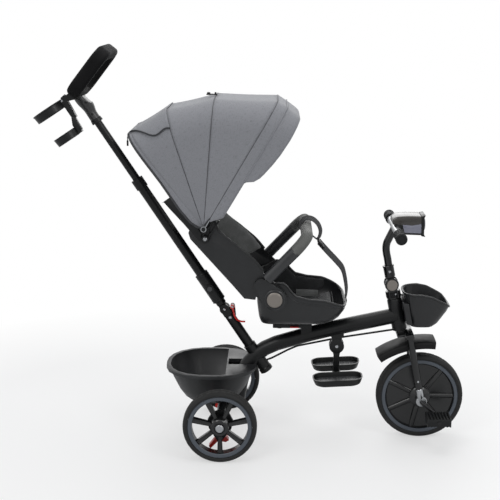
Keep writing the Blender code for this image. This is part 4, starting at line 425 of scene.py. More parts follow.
# Height, middle, half length and half width of the tub's outside
FRONT_LEVELS = ((0.343, -0.0045, 0.0345, 0.05), (0.3527, 0.0003, 0.0434, 0.0535))
FRONT_LEVELS += ((0.3867, 0.0087, 0.0588, 0.0596), (0.44, 0.0175, 0.075, 0.066))
LIP_STEPS = 72


def across_table(table, at):
    """The row of a table at a value of its first column, between its rows."""
    for low, high in zip(table, table[1:]):
        if at <= high[0] or high is table[-1]:
            share = min(max((at - low[0]) / (high[0] - low[0]), 0), 1)
            return [a + (b - a) * share for a, b in zip(low, high)]


def bulge(turn, power):
    """How far an oval between an ellipse and a rounded rectangle reaches at a turn, for half sizes of 1."""
    return (abs(cos(turn)) ** power + abs(sin(turn)) ** power) ** (-1 / power)


def on_steering(up, forward=0.0, y=0.0):
    return STEER_FOOT + STEER_UP * up + STEER_FORWARD * forward + ACROSS * y


def plate(bm, corners, low, high, edge, segments=2):
    """A flat piece cut to side-view corners, between two places across, with its edges rounded."""
    before = set(bm.faces)
    low, high = sorted((low, high))
    face = bm.faces.new([bm.verts.new(corner + ACROSS * low) for corner in corners])
    top = parted(bmesh.ops.extrude_face_region(bm, geom=[face]))[0]
    bmesh.ops.translate(bm, verts=top, vec=ACROSS * (high - low))
    rounded(bm, list({e for f in bm.faces if f not in before for e in f.edges}), edge, segments)


lip = []
for step in range(LIP_STEPS + 1):
    turn = tau * step / LIP_STEPS
    reach = bulge(turn, 3.2)
    height = 0.43
    for _ in range(12):
        middle, half_length, half_width = across_table(FRONT_LEVELS, height)[1:]
        ahead = middle + half_length * reach * cos(turn)
        height = across_table(FRONT_RIM, ahead)[1]
    lip.append(AXLE + Vector((ahead, half_width * reach * sin(turn), height - AXLE.z)))
bm = bmesh.new()
swept(bm, lip, 0.003, 12)
saddle = [on_steering((z - 0.1208) / cos(HEAD_TILT), 0.019) for z in (0.348, 0.385, 0.412)]
saddle += [AXLE + Vector((x, 0, z)) for x, z in ((-0.052, 0.287), (-0.0475, 0.26), (-0.04, 0.223))]
plate(bm, saddle, -0.036, 0.036, 0.003)
cheek = saddle[:3] + [corner + Vector((0.009, 0, 0)) for corner in saddle[3:]]
for hand in (-1, 1):
    plate(bm, cheek, hand * 0.043, hand * 0.054, 0.003)
piece("front_basket_lip", bm, "frame", "black_plastic", satin_shell)

# Fork. Two straight steel legs in gloss black enamel on a welded crown, with pressed zinc-plated ends round
# the axle, a washer and a dome nut on each, and a knurled locking ring under the stem.
# Stoved enamel: deep black with sharp reflections
gloss_enamel = finish("gloss_black_enamel", "0c0d0e", "121314", 0.17, 0.003, 0.00002)
dress(gloss_enamel, "painted_steel", "fork")
FORK_HALF = 0.0565
bm = bmesh.new()
for hand in (-1, 1):
    at = AXLE + ACROSS * hand * FORK_HALF
    end = [(0.0061, 0.0053), (0.014, 0.0053), (0.0154, 0.004)]
    end += [(r, -y) for r, y in reversed(end)]
    turned(bm, end, at, ACROSS * hand, 48)
    sleeve = [(0.0098, 0.038), (0.0104, 0.037), (0.0106, 0.017), (0.0085, 0.009), (0.0, 0.009), (0.0, 0.038)]
    turned(bm, sleeve, on_steering(0, TRAIL, hand * FORK_HALF), STEER_UP, 48)
    nut = [(0.0061, 0.0053), (0.0098, 0.0053), (0.0098, 0.0066), (0.0078, 0.0066), (0.0074, 0.0094)]
    nut += [(0.0061, 0.0094)]
    turned(bm, nut, at, ACROSS * hand, 6)
piece("fork_ends", bm, "fork_body", "bright_steel", zinc, crease=25)
bm = bmesh.new()
ring = [(0.02, 0.3055), (0.0212, 0.3065), (0.0212, 0.322), (0.02, 0.323)]
turned(bm, ring, STEER_FOOT, STEER_UP)
grips = [f for f in bm.faces if f.calc_area() > 0.00001 and abs(f.normal.dot(STEER_UP)) < 0.1]
grips = [f for f in grips if (f.calc_center_median() - STEER_FOOT).cross(STEER_UP).length > 0.0205]
bmesh.ops.inset_individual(bm, faces=grips, thickness=0.00032, depth=0.0006)
piece("locking_ring", bm, "fork_body", "black_plastic", satin_pp)


def heads(name, body, slot, material, profile, places, steps=32):
    """Turned heads of rivets, bolts or caps as one piece, each at its (place, axis)."""
    bm = bmesh.new()
    for place, axis in places:
        turned(bm, profile, place, axis, steps)
    piece(name, bm, body, slot, material)


dome = [(0.0, 0.0016), (0.0018, 0.0013), (0.003, 0.0), (0.0, 0.0)]
places = [(on_steering(0.3155, 0.005, -0.0204), -ACROSS)]
places += [(on_steering(0.062, TRAIL, hand * 0.0664), ACROSS * hand) for hand in (-1, 1)]
heads("fork_rivets", "fork_body", "bright_steel", zinc, dome, places, 24)

# Front fender. An arched strip of black polypropylene with deep turned-down sides, screwed under the crown.
bm = bmesh.new()
section = [(-0.044, 0.225), (-0.044, 0.238), (-0.042, 0.2425), (-0.037, 0.2448), (-0.02, 0.2464),
           (0.0, 0.247)]
section += [(-y, radius) for y, radius in reversed(section[:-1])]
FENDER_CENTRE = AXLE + Vector((0.0151, 0, -0.0728))
aim = Vector((cos(radians(84.5)), 0, sin(radians(84.5))))
line = [bm.verts.new(FENDER_CENTRE + aim * radius + ACROSS * y) for y, radius in section]
strip = line + [bm.edges.new(pair) for pair in zip(line, line[1:])]
bmesh.ops.spin(bm, geom=strip, cent=FENDER_CENTRE, axis=(0, -1, 0), angle=radians(41), steps=40)
bmesh.ops.recalc_face_normals(bm, faces=bm.faces)
bmesh.ops.solidify(bm, geom=bm.faces, thickness=0.0025)
# A matt mould face takes nearly all shine off the plastic
matt_pp = finish("matt_black_moulding", "0b0b0c", "111112", 0.55, 0.0012, 0.00005, Specular_IOR_Level=0.18)
piece("fender_strip", bm, "fork_body", "black_plastic", matt_pp, stands_for=("front_fender",), crease=50)

# Crank and pedals. The crank is one bent rod of blackened steel; each pedal is a black polypropylene block
# with raised grip ribs on both treads, and turns on the crank's end.
# Blackened steel: a dark grey metal with a dull, streaky shine
blackened = finish("blackened_steel", "39393a", "2c2c2d", 0.32, 0.0011, 0.00005, Metallic=1.0)
dress(blackened, "bright_steel", "crank")
HANDS = (("left", 1), ("right", -1))
for name, hand in HANDS:
    at = Vector((0.436723, 0.115, 0.157014)) if hand > 0 else Vector((0.518677, -0.115, 0.092986))
    bm = bmesh.new()
    block(bm, (0.062, 0.06, 0.017), at, 0.0055, 4)
    for index in range(8):
        place = at + Vector((-0.0308 + 0.0088 * index, 0, 0))
        block(bm, (0.005, 0.059, 0.0255), place, 0.0016, 2)
    for low in (-1, 1):
        block(bm, (0.066, 0.0045, 0.0215), at + ACROSS * low * 0.0285, 0.002, 2)
    stood_for = (f"pedal_{name}",)
    piece(f"pedal_{name}_tread", bm, f"pedal_{name}_body", "black_plastic", black_pp, stands_for=stood_for)

# Stem. A swan-neck steel tube in gloss black in a clamp sleeve, with a bright push button on the fold's pivot
# and one rivet through the sleeve.
dress(gloss_enamel, "painted_steel", "stem")
# Silver paint on plastic: warm grey flakes with a blurred reflection
silver_paint = finish("silver_painted_abs", "857f79", "7b756f", 0.34, 0.0009, 0.00002, Metallic=0.5)
dress(silver_paint, "bright_steel", "stem_button")
rivet = [(0.0, 0.0018), (0.0026, 0.0015), (0.0042, 0.0), (0.0, 0.0)]
heads("stem_rivet", "stem_body", "bright_steel", zinc, rivet, [(on_steering(0.3815, 0.0, -0.0146), -ACROSS)])
bm = bmesh.new()
rings = [(0.0152, 0.05), (0.016, 0.0507), (0.016, 0.0543), (0.015, 0.055), (0.0105, 0.055), (0.0105, 0.05)]
turned(bm, rings, on_steering(0.344), STEER_UP, 64)
piece("sleeve_collar", bm, "stem_body", "painted_steel", gloss_enamel)

# Handlebar and grips. A bright plated tube with a black rubber grip pushed on each end: ribbed, with a flange
# at the inner end and a rounded cap.
dress(zinc, "grey_plastic", "handlebar")
# Moulded rubber: nearly matt, with a faint bloom
rubber = finish("black_grip_rubber", "151617", "1d1e1f", 0.58, 0.0009, 0.00012, Specular_IOR_Level=0.22)
BAR_CENTRE = on_steering(0.344 + 0.1609, 0.0383)
for name, hand in HANDS:
    line = [(0.0119, 0.111), (0.015, 0.1107), (0.0162, 0.1115), (0.0162, 0.114), (0.0148, 0.115)]
    for index in range(14):
        start = 0.116 + 0.0031 * index
        line += [(0.0146, start), (0.0153, start + 0.0006), (0.0153, start + 0.0019),
                 (0.0146, start + 0.0025)]
    line += [(0.0148, 0.16), (0.0162, 0.161), (0.0162, 0.164), (0.0154, 0.1648), (0.016, 0.166),
             (0.016, 0.1695)]
    line += [(0.015, 0.1715), (0.0122, 0.1724), (0.0116, 0.1712), (0.0082, 0.1712), (0.0076, 0.1722)]
    line += [(0.0, 0.1722), (0.0, 0.169), (0.0119, 0.169)]
    bm = bmesh.new()
    turned(bm, line, BAR_CENTRE, ACROSS * hand, 64)
    grip = (f"grip_{name}",)
    piece(f"grip_{name}_rubber", bm, "stem_body", "black_plastic", rubber, stands_for=grip, crease=50)

# Sound box. Two moulded halves clipped over the bar: a smoky shell above, a dark base and bezel with a pale
# lens in front, and a milky window in each side.
# Glossy brown-black ABS, and acrylic that looks milky because its back is frosted
shell_paint = finish("smoky_brown_glossy_abs", "3e3b38", "353330", 0.24, 0.0009, 0.00002)
milky = finish("milky_clear_acrylic", "747584", "80818e", 0.16, 0.002, 0.00002)


def on_bar_box(x, z, y=0.0):
    return BAR_CENTRE + Vector((x, y, z))


bm = bmesh.new()
upper = ((-0.011, 0.012), (-0.01, 0.026), (0.002, 0.035), (0.03, 0.0365), (0.0705, 0.036), (0.0712, 0.013))
upper += ((0.046, 0.008), (0.02, 0.01))
plate(bm, [on_bar_box(*c) for c in upper], -0.034, 0.034, 0.004, 4)
piece("sound_box_shell", bm, "stem_body", "grey_plastic", shell_paint, stands_for=("lamp_housing",))
bm = bmesh.new()
lower = ((-0.006, 0.013), (0.02, 0.013), (0.046, 0.011), (0.0712, 0.015), (0.072, -0.0185), (0.026, -0.017))
lower += ((0.014, -0.008),)
plate(bm, [on_bar_box(*c) for c in lower], -0.0325, 0.0325, 0.0035, 4)
bezel = ((0.07, 0.036), (0.0815, 0.0385), (0.078, 0.032), (0.078, -0.016), (0.082, -0.0225), (0.07, -0.0205))
plate(bm, [on_bar_box(*c) for c in bezel], -0.0338, 0.0338, 0.0016)
piece("sound_box_base", bm, "stem_body", "black_plastic", satin_pp)
bm = bmesh.new()
window = ((0.0175, 0.0125), (0.044, 0.01), (0.0695, 0.0145), (0.07, -0.0125), (0.023, -0.011))
for hand in (-1, 1):
    plate(bm, [on_bar_box(*c) for c in window], hand * 0.031, hand * 0.0336, 0.0009)
lens = [(0.0, 0.0836), (0.015, 0.0828), (0.0185, 0.081), (0.0, 0.076)]
turned(bm, lens, on_bar_box(0, 0.008), Vector((1, 0, 0)), 64)
piece("sound_box_windows", bm, "stem_body", "grey_plastic", milky)

# Footrest. A moulded bracket hangs under the main tube; the arm turns in it on a steel pin and carries two
# shallow trays with ribbed floors, one for each foot.
# Deep leather grain in grey plastic; on the trays' floors the lighter grey is painted light from above
tray_light_and_button_grey = finish("grained_tray_polypropylene", "3a3b3d", "454648", 0.42, 0.0012, 0.00022)
FOOT = side(0.328, 0.273)


def on_foot(x, z):
    return FOOT + Vector((x, 0, z))


bm = bmesh.new()
cheek = [(0.0052, 0.0), (0.0195, 0.0), (0.0212, 0.0012), (0.0212, 0.0036), (0.0195, 0.0044), (0.0052, 0.0044)]
neck = ((-0.012, 0.01), (0.012, 0.01), (0.017, 0.033), (0.021, 0.044), (-0.021, 0.036), (-0.016, 0.028))
for hand in (-1, 1):
    turned(bm, cheek, FOOT + ACROSS * hand * 0.0098, ACROSS * hand, 64)
    plate(bm, [on_foot(*c) for c in neck], hand * 0.01, hand * 0.0138, 0.001)
block(bm, (0.04, 0.027, 0.012), on_foot(0, 0.0345), 0.002)
piece("footrest_hanger", bm, "frame", "black_plastic", satin_pp, stands_for=("footrest_bracket",))
bm = bmesh.new()
head = [(0.0, 0.0022), (0.0042, 0.002), (0.0056, 0.0), (0.0, 0.0)]
for hand in (-1, 1):
    turned(bm, head, FOOT + ACROSS * hand * 0.0142, ACROSS * hand, 32)
swept(bm, [FOOT - ACROSS * 0.0142, FOOT + ACROSS * 0.0142], 0.0049, 24)
piece("footrest_pin", bm, "frame", "bright_steel", zinc)
bm = bmesh.new()
eye = [(0.0053, 0.0095), (0.019, 0.0095), (0.02, 0.0084)]
eye += [(r, -y) for r, y in reversed(eye)]
turned(bm, eye, FOOT, ACROSS, 64)
arm = ((-0.012, -0.015), (0.012, -0.015), (0.0085, -0.03), (0.0095, -0.088), (-0.01, -0.088), (-0.008, -0.03))
plate(bm, [on_foot(*c) for c in arm], -0.0095, 0.0095, 0.003, 3)
tray_lean = Matrix.Translation(side(0.329, 0.1915)) @ Matrix.Rotation(radians(-3.2), 4, "Y")
block(bm, (0.023, 0.062, 0.015), tray_lean @ Matrix.Translation((0, 0, -0.0025)), 0.004)
for hand in (-1, 1):
    before = set(bm.faces)
    at = tray_lean @ Matrix.Translation((0, hand * 0.067, 0))
    cube = bmesh.ops.create_cube(bm, size=1, matrix=at @ Matrix.Diagonal((0.142, 0.078, 0.0215, 1)))["verts"]
    low = [v for v in cube if v.co.z < at.translation.z]
    bmesh.ops.scale(bm, verts=low, vec=(0.9, 0.84, 1), space=at.inverted())
    edges = {e for v in cube for e in v.link_edges}
    posts = [e for e in edges if abs((e.verts[0].co - e.verts[1].co).z) > 0.015]
    rounded(bm, posts, 0.029, 10)
    new = [f for f in bm.faces if f not in before]
    top = max(new, key=lambda f: f.calc_center_median().z)
    base = min(new, key=lambda f: f.calc_center_median().z)
    rounded(bm, list(base.edges), 0.0045, 4)
    bmesh.ops.inset_region(bm, faces=[top], thickness=0.0035)
    bmesh.ops.inset_region(bm, faces=[top], thickness=0.003, depth=-0.013)
    # The floor and its ribs take the lighter grey: painted light falling into the tray from above
    top.material_index = 1
    for index in range(7):
        rib = at @ Matrix.Translation((-0.042 + 0.014 * index, 0, -0.0018))
        block(bm, (0.004, 0.048, 0.003), rib, 0.0009, 2, 1)
trays = (satin_pp, tray_light_and_button_grey)
piece("footrest_trays", bm, "footrest_body", "black_plastic", *trays, stands_for=("footrest",), crease=40)

# Seat turntable. A black glass-filled nylon base bolted on the main tube carries the turning seat; the red
# lever under it slides across to free the lock.
dress(black_pp, "black_plastic", "seat_base")
dress(red_abs, "red_plastic", "seat_lever")

# Seat tub. A thin-walled satin black moulding, flat below and rounded in plan, with a raised band under its
# rim; the fabric liner is pressed over the rim's inside.


def on_seat(x, z, y=0.0):
    return side(0.2 + x, 0.358 + z, y)


# Height, rear end, front end and half width of the tub's outside
TUB_LEVELS = ((0, -0.075, 0.072, 0.058), (0.005, -0.086, 0.095, 0.094), (0.01, -0.091, 0.109, 0.112))
TUB_LEVELS += ((0.024, -0.095, 0.13, 0.128), (0.045, -0.098, 0.145, 0.1345), (0.067, -0.1005, 0.149, 0.135))
TUB_LEVELS += ((0.11, -0.1005, 0.153, 0.135), (0.14, -0.1005, 0.153, 0.135))
TUB_RIM = ((-0.13, 0.11), (-0.082, 0.117), (-0.05, 0.134), (-0.022, 0.132), (-0.008, 0.112), (0.007, 0.096))
TUB_RIM += ((0.043, 0.087), (0.089, 0.083), (0.118, 0.072), (0.142, 0.06), (0.16, 0.054))
TUB_COLUMNS = 96


def tub_spot(step, share, out=0.0):
    """A point of the tub's outside at a step round it and a share of the height up to the rim there."""
    turn = tau * step / TUB_COLUMNS
    reach = bulge(turn, 4.5 if cos(turn) > 0 else 7)
    rim = 0.09
    for _ in range(10):
        rear, front = across_table(TUB_LEVELS, rim * share)[1:3]
        x = (rear + front) / 2 + (front - rear) / 2 * reach * cos(turn)
        top_rear, top_front = across_table(TUB_LEVELS, rim)[1:3]
        top = (top_rear + top_front) / 2 + (top_front - top_rear) / 2 * reach * cos(turn)
        rim = across_table(TUB_RIM, top)[1]
    half = across_table(TUB_LEVELS, rim * share)[3]
    return on_seat(x + out * cos(turn), rim * share, (half + out) * reach * sin(turn))


def next_ring(bm, ring, edges):
    """Extrudes a ring and gives back its new points, in the order of the old ones, and their edges."""
    verts, edges, _ = parted(bmesh.ops.extrude_edge_only(bm, edges=edges))
    source = {v: next(e.other_vert(v) for e in v.link_edges if e.other_vert(v) in ring) for v in verts}
    return sorted(verts, key=lambda v: ring.index(source[v])), edges


bm = bmesh.new()
ring = bmesh.ops.create_circle(bm, cap_ends=True, segments=TUB_COLUMNS, radius=0.1)["verts"]
edges = [edge for edge in bm.edges if edge.is_boundary]
for share in (0, 0.03, 0.08, 0.14, 0.22, 0.32, 0.45, 0.6, 0.76, 0.9, 1):
    if share:
        ring, edges = next_ring(bm, ring, edges)
    for step, vert in enumerate(ring):
        vert.co = tub_spot(step, share)
bmesh.ops.recalc_face_normals(bm, faces=bm.faces)
bmesh.ops.solidify(bm, geom=bm.faces, thickness=0.004)
plinth = [(0.0, -0.01), (0.04, -0.01), (0.042, -0.008), (0.042, 0.001), (0.0, 0.001)]
turned(bm, plinth, on_seat(0, 0), Vector((0, 0, 1)), 64)
piece("tub_shell", bm, "seat_body", "black_plastic", satin_shell, stands_for=("seat_tub",), crease=50)
bm = bmesh.new()
for share, out, radius, sides in ((1, 0.0002, 0.003, 12), (0.84, 0.0004, 0.0012, 8)):
    swept(bm, [tub_spot(step, share, out) for step in range(TUB_COLUMNS + 1)], radius, sides)
piece("tub_band", bm, "seat_body", "black_plastic", satin_shell)

# Seat cushion and liner. Wadding in black knitted spacer mesh, sewn across in three channels and piped round
# its edge; the same mesh lines the tub's walls. The mesh's eyes are 1.1 mm and drawn at 1.9 mm to show.


def flowing(points, per=6):
    """A smooth line through the points, per steps between two of them."""
    points = [Vector(point) for point in points]
    ends = [points[0] * 2 - points[1]] + points + [points[-1] * 2 - points[-2]]
    line = []
    for a, b, c, d in zip(ends, ends[1:], ends[2:], ends[3:]):
        run, bend, leave = c - b, (c - a) * 0.5, (d - b) * 0.5
        for t in (step / per for step in range(per)):
            line.append(b + bend * t + (run * 3 - bend * 2 - leave) * t * t + (bend + leave - run * 2) * t**3)
    return line + [points[-1]]


def knitted(name, shade, fleck, eye, depth, roughness, **constants):
    """Knitted or felted cloth, the same from every side: rounded cells with lighter yarn between."""
    material = blank(name, roughness, constants)
    place = wire(material, "ShaderNodeTexCoord")["Object"]
    mesh = {"Vector": place, "Scale": 1 / eye, "Randomness": 0.55}
    cells = wire(material, "ShaderNodeTexVoronoi", mesh)["Distance"]
    soft = wire(material, "ShaderNodeTexNoise", {"Vector": place, "Scale": 45, "Detail": 3})["Fac"]
    lit = wire(material, "ShaderNodeMath", {0: cells, 1: soft}, operation="MULTIPLY")["Value"]
    return toned(material, lit, (0.12, 0.42), (shade, fleck), cells, 0.7, depth)


spacer_mesh = knitted("black_spacer_mesh", "191a1b", "2f3032", 0.0019, 0.0004, 0.88, Sheen_Weight=0.15)
binding = finish("black_polyester_binding", "141516", "1e1f20", 0.78, 0.0007, 0.00015)


def settle(made):
    """Puts what the modifiers make into the mesh itself and takes them off."""
    graph = bpy.context.evaluated_depsgraph_get()
    mesh = bpy.data.meshes.new_from_object(made.evaluated_get(graph))
    made.modifiers.clear()
    made.data = mesh


def plump(name, bm, voxel, swell, rests, body, material, stands_for=(), channels=None):
    """A stuffed pad: cloth pressure blows up its cut shape, no point by more than swell, and the side that
    rests on something stays flat. Channels gives how deep a point is sewn down."""
    bmesh.ops.recalc_face_normals(bm, faces=bm.faces)
    made = stood(name, bm)
    even = made.modifiers.new("even", "REMESH")
    even.mode = "VOXEL"
    even.voxel_size = voxel
    settle(made)
    cut = [(vert.co.copy(), vert.normal.copy()) for vert in made.data.vertices]
    wadding = made.modifiers.new("wadding", "CLOTH")
    wadding.settings.use_pressure = True
    wadding.settings.uniform_pressure_force = 4
    wadding.settings.effector_weights.gravity = 0
    wadding.point_cache.frame_end = 20
    for number in range(1, 21):
        bpy.context.scene.frame_set(number)
    settle(made)
    bpy.context.scene.frame_set(1)
    for vert, (place, normal) in zip(made.data.vertices, cut):
        if normal.dot(rests) > 0.6:
            vert.co = place
            continue
        move = vert.co - place
        if move.length > swell:
            move = move.normalized() * swell
        vert.co = place + move
    finer = made.modifiers.new("finer", "SUBSURF")
    finer.levels = finer.render_levels = 1
    settle(made)
    if channels:
        sunk = [(vert, vert.normal.copy(), channels(vert.co, vert.normal)) for vert in made.data.vertices]
        for vert, normal, depth in sunk:
            vert.co = vert.co - normal * depth
    made.data.materials.clear()
    entered(made, body, (material,), stands_for)


under = [(-0.063, 0.013), (0.06, 0.013), (0.096, 0.024), (0.118, 0.043)]
over = [(0.108, 0.055), (0.087, 0.0375), (0.056, 0.0265), (-0.063, 0.0265)]
bm = bmesh.new()
plate(bm, [on_seat(x, z) for x, z in under + over], -0.105, 0.105, 0.006)

# Stitching sinks 3.5 mm into a pad, in furrows about 5 mm wide
STITCH_DEPTH = 0.0035
STITCH_HALF = 0.0028


def furrow(off, half=STITCH_HALF):
    """The share of the full depth of a line of stitching, off by some distance to its side."""
    return 1 / (1 + (off / half) ** 2)


def seat_channels(place, normal):
    if normal.z < 0.3:
        return 0
    return STITCH_DEPTH * max(furrow(place.x - on_seat(x, 0).x) for x in (-0.022, 0.026, 0.074))


plump("seat_pad", bm, 0.005, 0.004, Vector((0, 0, -1)), "seat_body", spacer_mesh,
      stands_for=("seat_cushion",), channels=seat_channels)
bm = bmesh.new()
middle = [on_seat(x, z) for x, z in ((-0.061, 0.0185), (0.058, 0.0185), (0.092, 0.03), (0.115, 0.048))]
middle = flowing(middle, 5)
around = [point + ACROSS * 0.1085 for point in middle[2:-2]]
around += [middle[-1] + ACROSS * y for y in (0.098, 0.0, -0.098)]
around += [point - ACROSS * 0.1085 for point in reversed(middle[2:-2])]
around += [middle[0] - Vector((0.0045, 0, 0)) + ACROSS * y for y in (-0.098, 0.0, 0.098)]
around = flowing(around + [around[0]], 3)
swept(bm, around, 0.0015, 8)
piece("seat_pad_piping", bm, "seat_body", "webbing", binding)
wall = [(-0.055, 0.031), (0.06, 0.033), (0.085, 0.045), (0.096, 0.06)]
rim = [(0.096, 0.079), (0.045, 0.0845), (0.008, 0.092), (-0.008, 0.108), (-0.022, 0.128), (-0.05, 0.13)]
for name, hand in HANDS:
    bm = bmesh.new()
    plate(bm, [on_seat(x, z) for x, z in wall + rim], hand * 0.1248, hand * 0.1292, 0.001)
    plump(f"tub_liner_{name}", bm, 0.004, 0.0015, ACROSS * hand, "seat_body", spacer_mesh)

# Grey patch of the liner. A plain soft tab of the lighter cloth, sewn flat on the tub's far inside wall
# A lighter grey than the back's cloth; on the wings the extra lightness is painted light
lining_cloth = knitted("light_grey_spacer_mesh", "6e6f6e", "858685", 0.0015, 0.0003, 0.86, Sheen_Weight=0.2)
bm = bmesh.new()
patch = ((0.012, 0.0485), (0.0773, 0.046), (0.0776, 0.026), (0.0122, 0.027))
plate(bm, [on_seat(*c) for c in patch], 0.1215, 0.1235, 0.0005)
piece("liner_patch", bm, "seat_body", "canopy_fabric", lining_cloth)

# Recline covers. Round black housings screwed on the tub's sides over the hinge, with a silver-painted cap.
dress(satin_shell, "black_plastic", "recline_cover_left", "recline_cover_right")
hubs = [(on_seat(-0.051, 0.091, hand * 0.155), ACROSS * hand) for hand in (-1, 1)]
cap = [(0.0, 0.0021), (0.014, 0.002), (0.0195, 0.0014), (0.0212, 0.0002), (0.0212, -0.002), (0.0, -0.002)]
heads("hinge_caps", "seat_body", "grey_plastic", silver_paint, cap, hubs, 64)
ring = [(0.0228, 0.0012), (0.0262, 0.0012), (0.029, -0.001), (0.029, -0.0035), (0.0228, -0.0035)]
heads("hinge_rings", "seat_body", "black_plastic", satin_shell, ring, hubs, 64)

# Backrest. A winged satin black shell that pivots on the tub's sides, lined with wadded grey cloth on its
# wings and back, with a dark piping sewn round the wings.
# Quilted polyester: a dull grey cloth whose sewn rows catch the light
pad_cloth = knitted("grey_quilted_polyester", "545557", "66676a", 0.0013, 0.0003, 0.86, Sheen_Weight=0.2)
dress(satin_shell, "black_plastic", "backrest_shell")
BACK_LINE = ((-0.28, 0.257), (-0.169, 0.132))
run = (Vector(BACK_LINE[1]) - Vector(BACK_LINE[0])).normalized()
rise = Vector((-run.y, run.x))
BACK_BORDER = 0.088


def on_back(down, out):
    """A point down the back's inside from its top, out towards the sitter."""
    spot = Vector(BACK_LINE[0]) + run * down + rise * out
    return on_seat(spot.x, spot.y)


bm = bmesh.new()
cut = [on_back(0.014, 0.0095), on_back(0.164, 0.0095), on_back(0.164, 0.0275), on_back(0.014, 0.0275)]
plate(bm, cut, -0.116, 0.116, 0.007)


def back_channels(place, normal):
    spot = place - on_back(0, 0)
    down = spot.x * run.x + spot.z * run.y
    out = normal.x * rise.x + normal.z * rise.y
    if out < 0.3:
        return 0
    rows = max(furrow(down - row) for row in (0.05, 0.089, 0.128))
    border = furrow(abs(place.y) - BACK_BORDER, 0.0026)
    return STITCH_DEPTH * max(rows * (abs(place.y) < BACK_BORDER), border)


plump("back_pad", bm, 0.005, 0.004, Vector((-rise.x, 0, -rise.y)), "back_body", pad_cloth,
      stands_for=("backrest_pad",), channels=back_channels)
wing = ((-0.211, 0.328), (-0.2005, 0.284), (-0.148, 0.2385), (-0.112, 0.206), (-0.088, 0.171))
wing += ((-0.125, 0.15), (-0.158, 0.1405), (-0.267, 0.2625), (-0.266, 0.281), (-0.225, 0.302))
# The wings' lining is real grey cloth drawn lighter than the back's: the extra lightness is painted light on
# the far wing's inside
for name, hand in HANDS:
    bm = bmesh.new()
    plate(bm, [on_seat(*c) for c in wing], hand * 0.1305, hand * 0.135, 0.001)
    plump(f"wing_lining_{name}", bm, 0.004, 0.002, ACROSS * hand, "back_body", lining_cloth)
bm = bmesh.new()
edge = ((-0.2165, 0.3405), (-0.2055, 0.283), (-0.1505, 0.235), (-0.1105, 0.201), (-0.083, 0.169))
for hand in (-1, 1):
    swept(bm, flowing([on_seat(x, z, hand * 0.1372) for x, z in edge]), 0.004, 12)
piece("wing_edge_roll", bm, "back_body", "webbing", binding)

# Bumper bar. A bent steel tube plugged into the hinge housings, in a smooth dark sleeve up its arms and a
# grey foam cover across the top.
# Extruded sleeve with a smooth shine along it, and foam with open pores that is nearly matt
sleeve_plastic = finish("dark_sleeve_plastic", "252628", "2e2f31", 0.3, 0.0011, 0.00003)
bar_foam = finish("grey_foam_cover", "5e5f5d", "575855", 0.7, 0.001, 0.00012)
dress(sleeve_plastic, "black_plastic", "bumper_bar")
BAR_SOCKET = on_seat(-0.088, 0.132)
BAR_TOP = on_seat(0.036, 0.262)
BAR_UP = (BAR_TOP - BAR_SOCKET).normalized()
ARM_HALF = 0.1537


def on_arm(up, y=ARM_HALF):
    return BAR_SOCKET + BAR_UP * up + ACROSS * y


arm_space = Matrix.Translation(BAR_SOCKET) @ BAR_UP.to_track_quat("Z", "Y").to_matrix().to_4x4()
bm = bmesh.new()
for hand in (-1, 1):
    runs = (0.024, 0.025, 0.05, 0.08, 0.11, 0.132, 0.133)
    swept(bm, [on_arm(up, hand * ARM_HALF) for up in runs], 0.0122, 40)
bmesh.ops.scale(bm, verts=bm.verts, vec=(1, 1.3, 1), space=arm_space.inverted())
for vert in bm.verts:
    past = (vert.co - BAR_SOCKET).dot(BAR_UP) - 0.1
    if past > 0:
        vert.co.y *= 1 + 0.024 * min(past / 0.02, 1) * (1 if abs(vert.co.y) > ARM_HALF else -1)
piece("bar_sleeves", bm, "bar_body", "black_plastic", sleeve_plastic)
BEND = 0.045
half_way = [on_arm(up) for up in (0.1295, 0.1305)]
for turn in range(0, 91, 9):
    reach = radians(turn)
    half_way.append(on_arm(0.1347 + BEND * sin(reach), ARM_HALF - BEND * (1 - cos(reach))))
half_way += [BAR_TOP + ACROSS * y for y in (0.08, 0.05, 0.02)]
bm = bmesh.new()
swept(bm, half_way + [Vector((p.x, -p.y, p.z)) for p in reversed(half_way)], 0.0163, 40)
piece("bar_top_cover", bm, "bar_body", "grey_plastic", bar_foam, stands_for=("bar_cover",))

# Crotch strap. Flat black polyester webbing, 30 mm wide: a loop round the bar's cover that a buckle closes,
# and the strap from it down to the tub's front edge. Its ribs are 1 mm apart and drawn at 1.6 mm.


def woven(name, shade, fleck, spacing, depth, roughness, **constants):
    """A plain weave on the piece's own UV map, in metres: crossing threads, with flecks of lighter yarn."""
    material = blank(name, roughness, constants)
    place = wire(material, "ShaderNodeUVMap", uv_map="UVMap")["UV"]
    bands = {"Vector": place, "Scale": 0.314 / spacing, "Distortion": 0.6}
    over, under = (wire(material, "ShaderNodeTexWave", bands, bands_direction=way)["Fac"] for way in "XY")
    raised = wire(material, "ShaderNodeMath", {0: over, 1: under}, operation="MULTIPLY")["Value"]
    yarns = []
    for stretch in ((60, 700, 1), (700, 60, 1)):
        drawn = wire(material, "ShaderNodeMapping", {"Vector": place, "Scale": stretch})["Vector"]
        yarns.append(wire(material, "ShaderNodeTexNoise", {"Vector": drawn, "Scale": 1, "Detail": 3})["Fac"])
    heather = wire(material, "ShaderNodeMath", {0: yarns[0], 1: yarns[1]}, operation="ADD")["Value"]
    light = {0: raised, 1: 0.35, 2: heather}
    lit = wire(material, "ShaderNodeMath", light, operation="MULTIPLY_ADD")["Value"]
    return toned(material, lit, (0.75, 1), (shade, fleck), raised, 0.5, depth)


